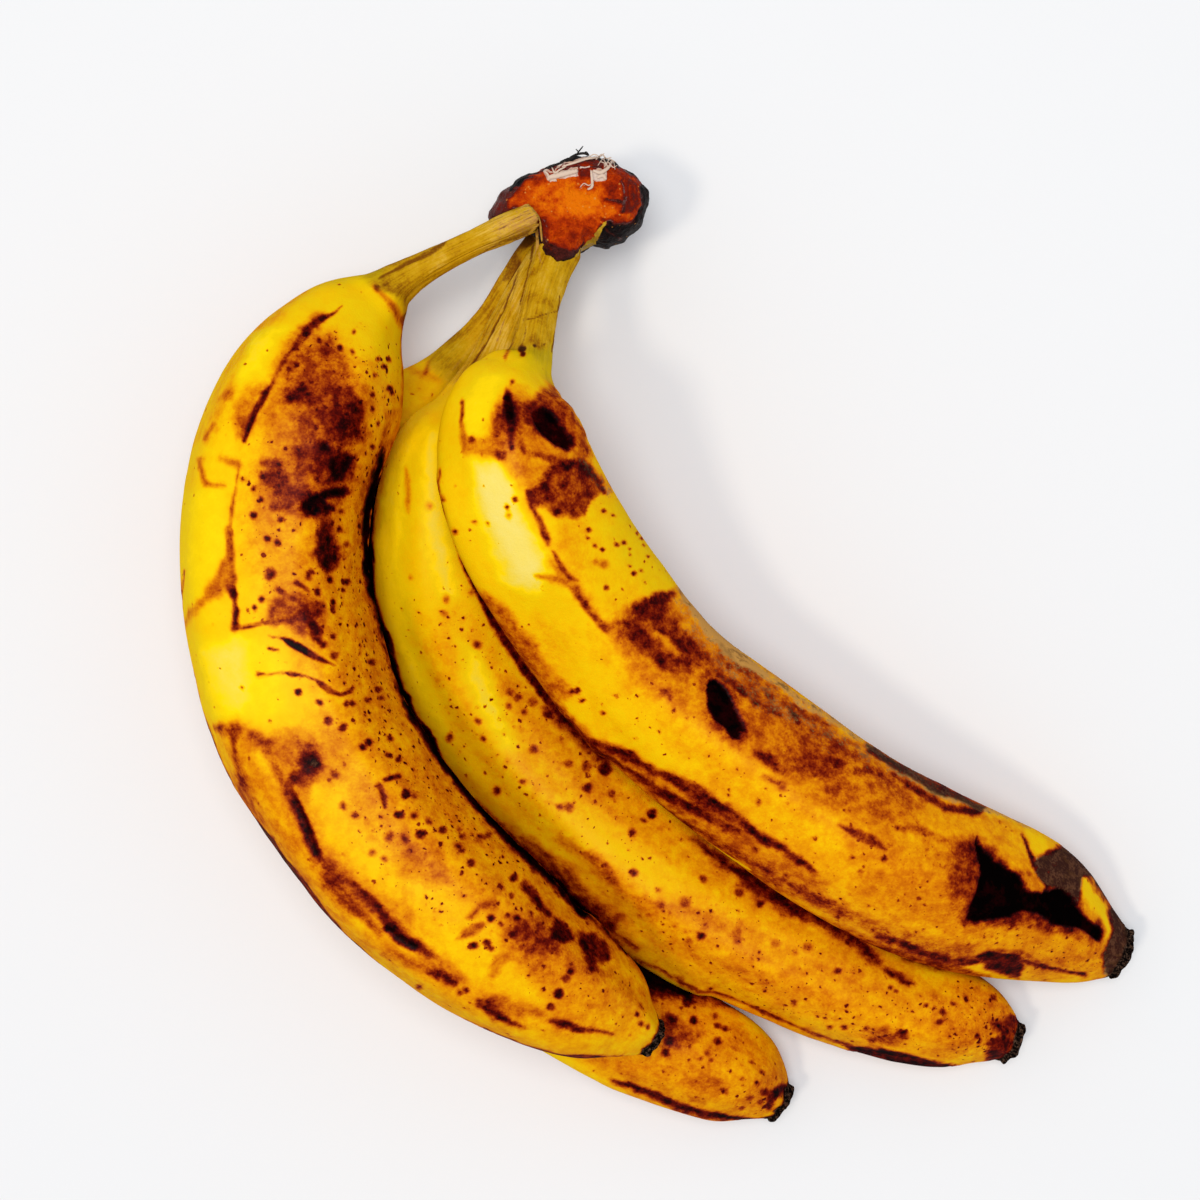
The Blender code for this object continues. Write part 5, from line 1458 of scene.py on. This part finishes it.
DARK_SHREDS = (
    (0.35, 0.7, ((546, 169), (553, 166), (561, 164))),
    (0.4, 0.7, ((560, 163), (567, 160), (574, 158))),
    (0.35, 0.9, ((570, 158), (577, 155), (584, 154), (588, 156))),
    (0.2, 1.0, ((576, 156), (579, 152), (583, 147))),
    (0.16, 1.0, ((579, 153), (576, 150))),
    (0.3, 0.8, ((584, 155), (586, 153), (589, 156))),
)


def plain_finish(name, colour, roughness):
    """One even colour, hardly shiny."""
    finish = Finish(name)
    finish.feed(finish.shader.inputs["Specular IOR Level"], 0.1)
    finish.feed(finish.shader.inputs["Base Color"], colour)
    finish.feed(finish.shader.inputs["Roughness"], roughness)
    return finish.material


def hang_up(piece, material, node):
    """Gives a piece its material, hangs it under the root body and hides the solid of the node it
    stands for.
    """
    piece.data.materials.append(material)
    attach(piece, "root")
    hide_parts(node)


# Each node of a finger, with the piece that replaces it, the name its finish is built from, and its
# marks.
FINGERS = {
    "plantain_left": ("left_finger", "peel_left",
                      {"ripe": LEFT_RIPE_AND_LIGHT, "freckle": LEFT_FRECKLES, "grey": LEFT_GREY,
                       "green": LEFT_GREEN, "fibrous": LEFT_FIBROUS, "swell": LEFT_SWELL}),
    "plantain_under": ("under_finger", "peel_under",
                       {"ripe": UNDER_RIPE_AND_LIGHT, "freckle": UNDER_FRECKLES, "green": UNDER_GREEN}),
    "plantain_middle": ("middle_finger", "peel_middle",
                        {"ripe": MIDDLE_RIPE_AND_LIGHT, "freckle": MIDDLE_FRECKLES, "grey": MIDDLE_GREY,
                         "green": MIDDLE_GREEN, "swell": MIDDLE_SWELL}),
    "plantain_right": ("right_finger", "peel_right",
                       {"ripe": RIGHT_RIPE_AND_LIGHT, "freckle": RIGHT_FRECKLES, "grey": RIGHT_GREY,
                        "green": RIGHT_GREEN, "swell": RIGHT_SWELL}),
}

# How many columns around a finger and rings along it; the lowest one is mostly hidden.
FINE_SKIN = (200, 468)
COARSE_SKIN = (150, 380)

for number, (node, (piece_name, slot, marks)) in enumerate(FINGERS.items()):
    around, along = COARSE_SKIN if node == "plantain_under" else FINE_SKIN
    finger = make_finger(node, number * 7 + 1, marks, around, along)
    finger.name = finger.data.name = piece_name
    hang_up(finger, peel_finish(f"{slot}_skin", number + 1), node)

crown = make_crown()
hang_up(crown, crown_finish(), "crown")
ground = BVHTree.FromPolygons([vertex.co for vertex in crown.data.vertices],
                              [face.vertices for face in crown.data.polygons])
for name, lines, skin, levels in (
    ("pale_shreds", PALE_SHREDS, "dry_fibre", (226, 200, 178)),
    ("peel_shreds", PEEL_SHREDS, "dry_peel", (196, 146, 62)),
    ("dark_shreds", DARK_SHREDS, "dry_husk", (46, 42, 40)),
):
    hang_up(make_shreds(name, lines, ground), plain_finish(skin, linear(*levels), 0.8),
            "crown")

# The floor, pale and plain, with a faint glow of its own: painted light that lifts the shadows on
# it.
floor_data, _ = made_mesh("floor", bmesh.ops.create_grid, x_segments=1, y_segments=1, size=2.5)
floor = put_down("floor", floor_data)
glowing_floor_white = plain_finish("glowing_floor_white", (0.765, 0.765, 0.765), 0.6)
floor_shader = glowing_floor_white.node_tree.nodes["Principled BSDF"]
# Painted light: the floor glows faintly, lifting its shadows.
floor_shader.inputs["Emission Color"].default_value = (1.0, 1.0, 1.0, 1.0)
floor_shader.inputs["Emission Strength"].default_value = 0.05
floor_data.materials.append(glowing_floor_white)


# The lights point at the middle of the hand.
LIGHT_TARGET = Vector((-0.01, 0.0, 0.02))


def add_light(name, kind, place, size, power, colour):
    """A sun of this angle or a round lamp of this width, from this place."""
    light = bpy.data.lights.new(name, kind)
    light.energy = power
    light.color = colour
    if kind == "SUN":
        light.angle = size
    else:
        light.shape = "DISK"
        light.size = size
    lamp = put_down(name, light)
    lamp.location = place
    lamp.rotation_euler = (LIGHT_TARGET - Vector(place)).to_track_quat("-Z", "Y").to_euler()


add_light("key_light", "SUN", (-0.50, -0.24, 1.15), math.radians(8.0), 0.55, (1.12, 1.0, 0.82))
add_light("soft_light", "AREA", (-0.06, 0.08, 1.40), 0.6, 10.6, (1.0, 1.0, 0.99))

world = bpy.data.worlds.new("studio")
world.use_nodes = True
world.node_tree.nodes["Background"].inputs["Color"].default_value = (0.925, 0.985, 1.095, 1.0)
world.node_tree.nodes["Background"].inputs["Strength"].default_value = 0.50
bpy.context.scene.world = world
bpy.context.scene.view_settings.view_transform = "Standard"

camera_data = bpy.data.cameras.new("camera")
camera_data.lens = CAMERA_LENS
camera_data.sensor_width = SENSOR_WIDTH
camera = put_down("camera", camera_data)
camera.location = CAMERA_PLACE
bpy.context.scene.camera = camera
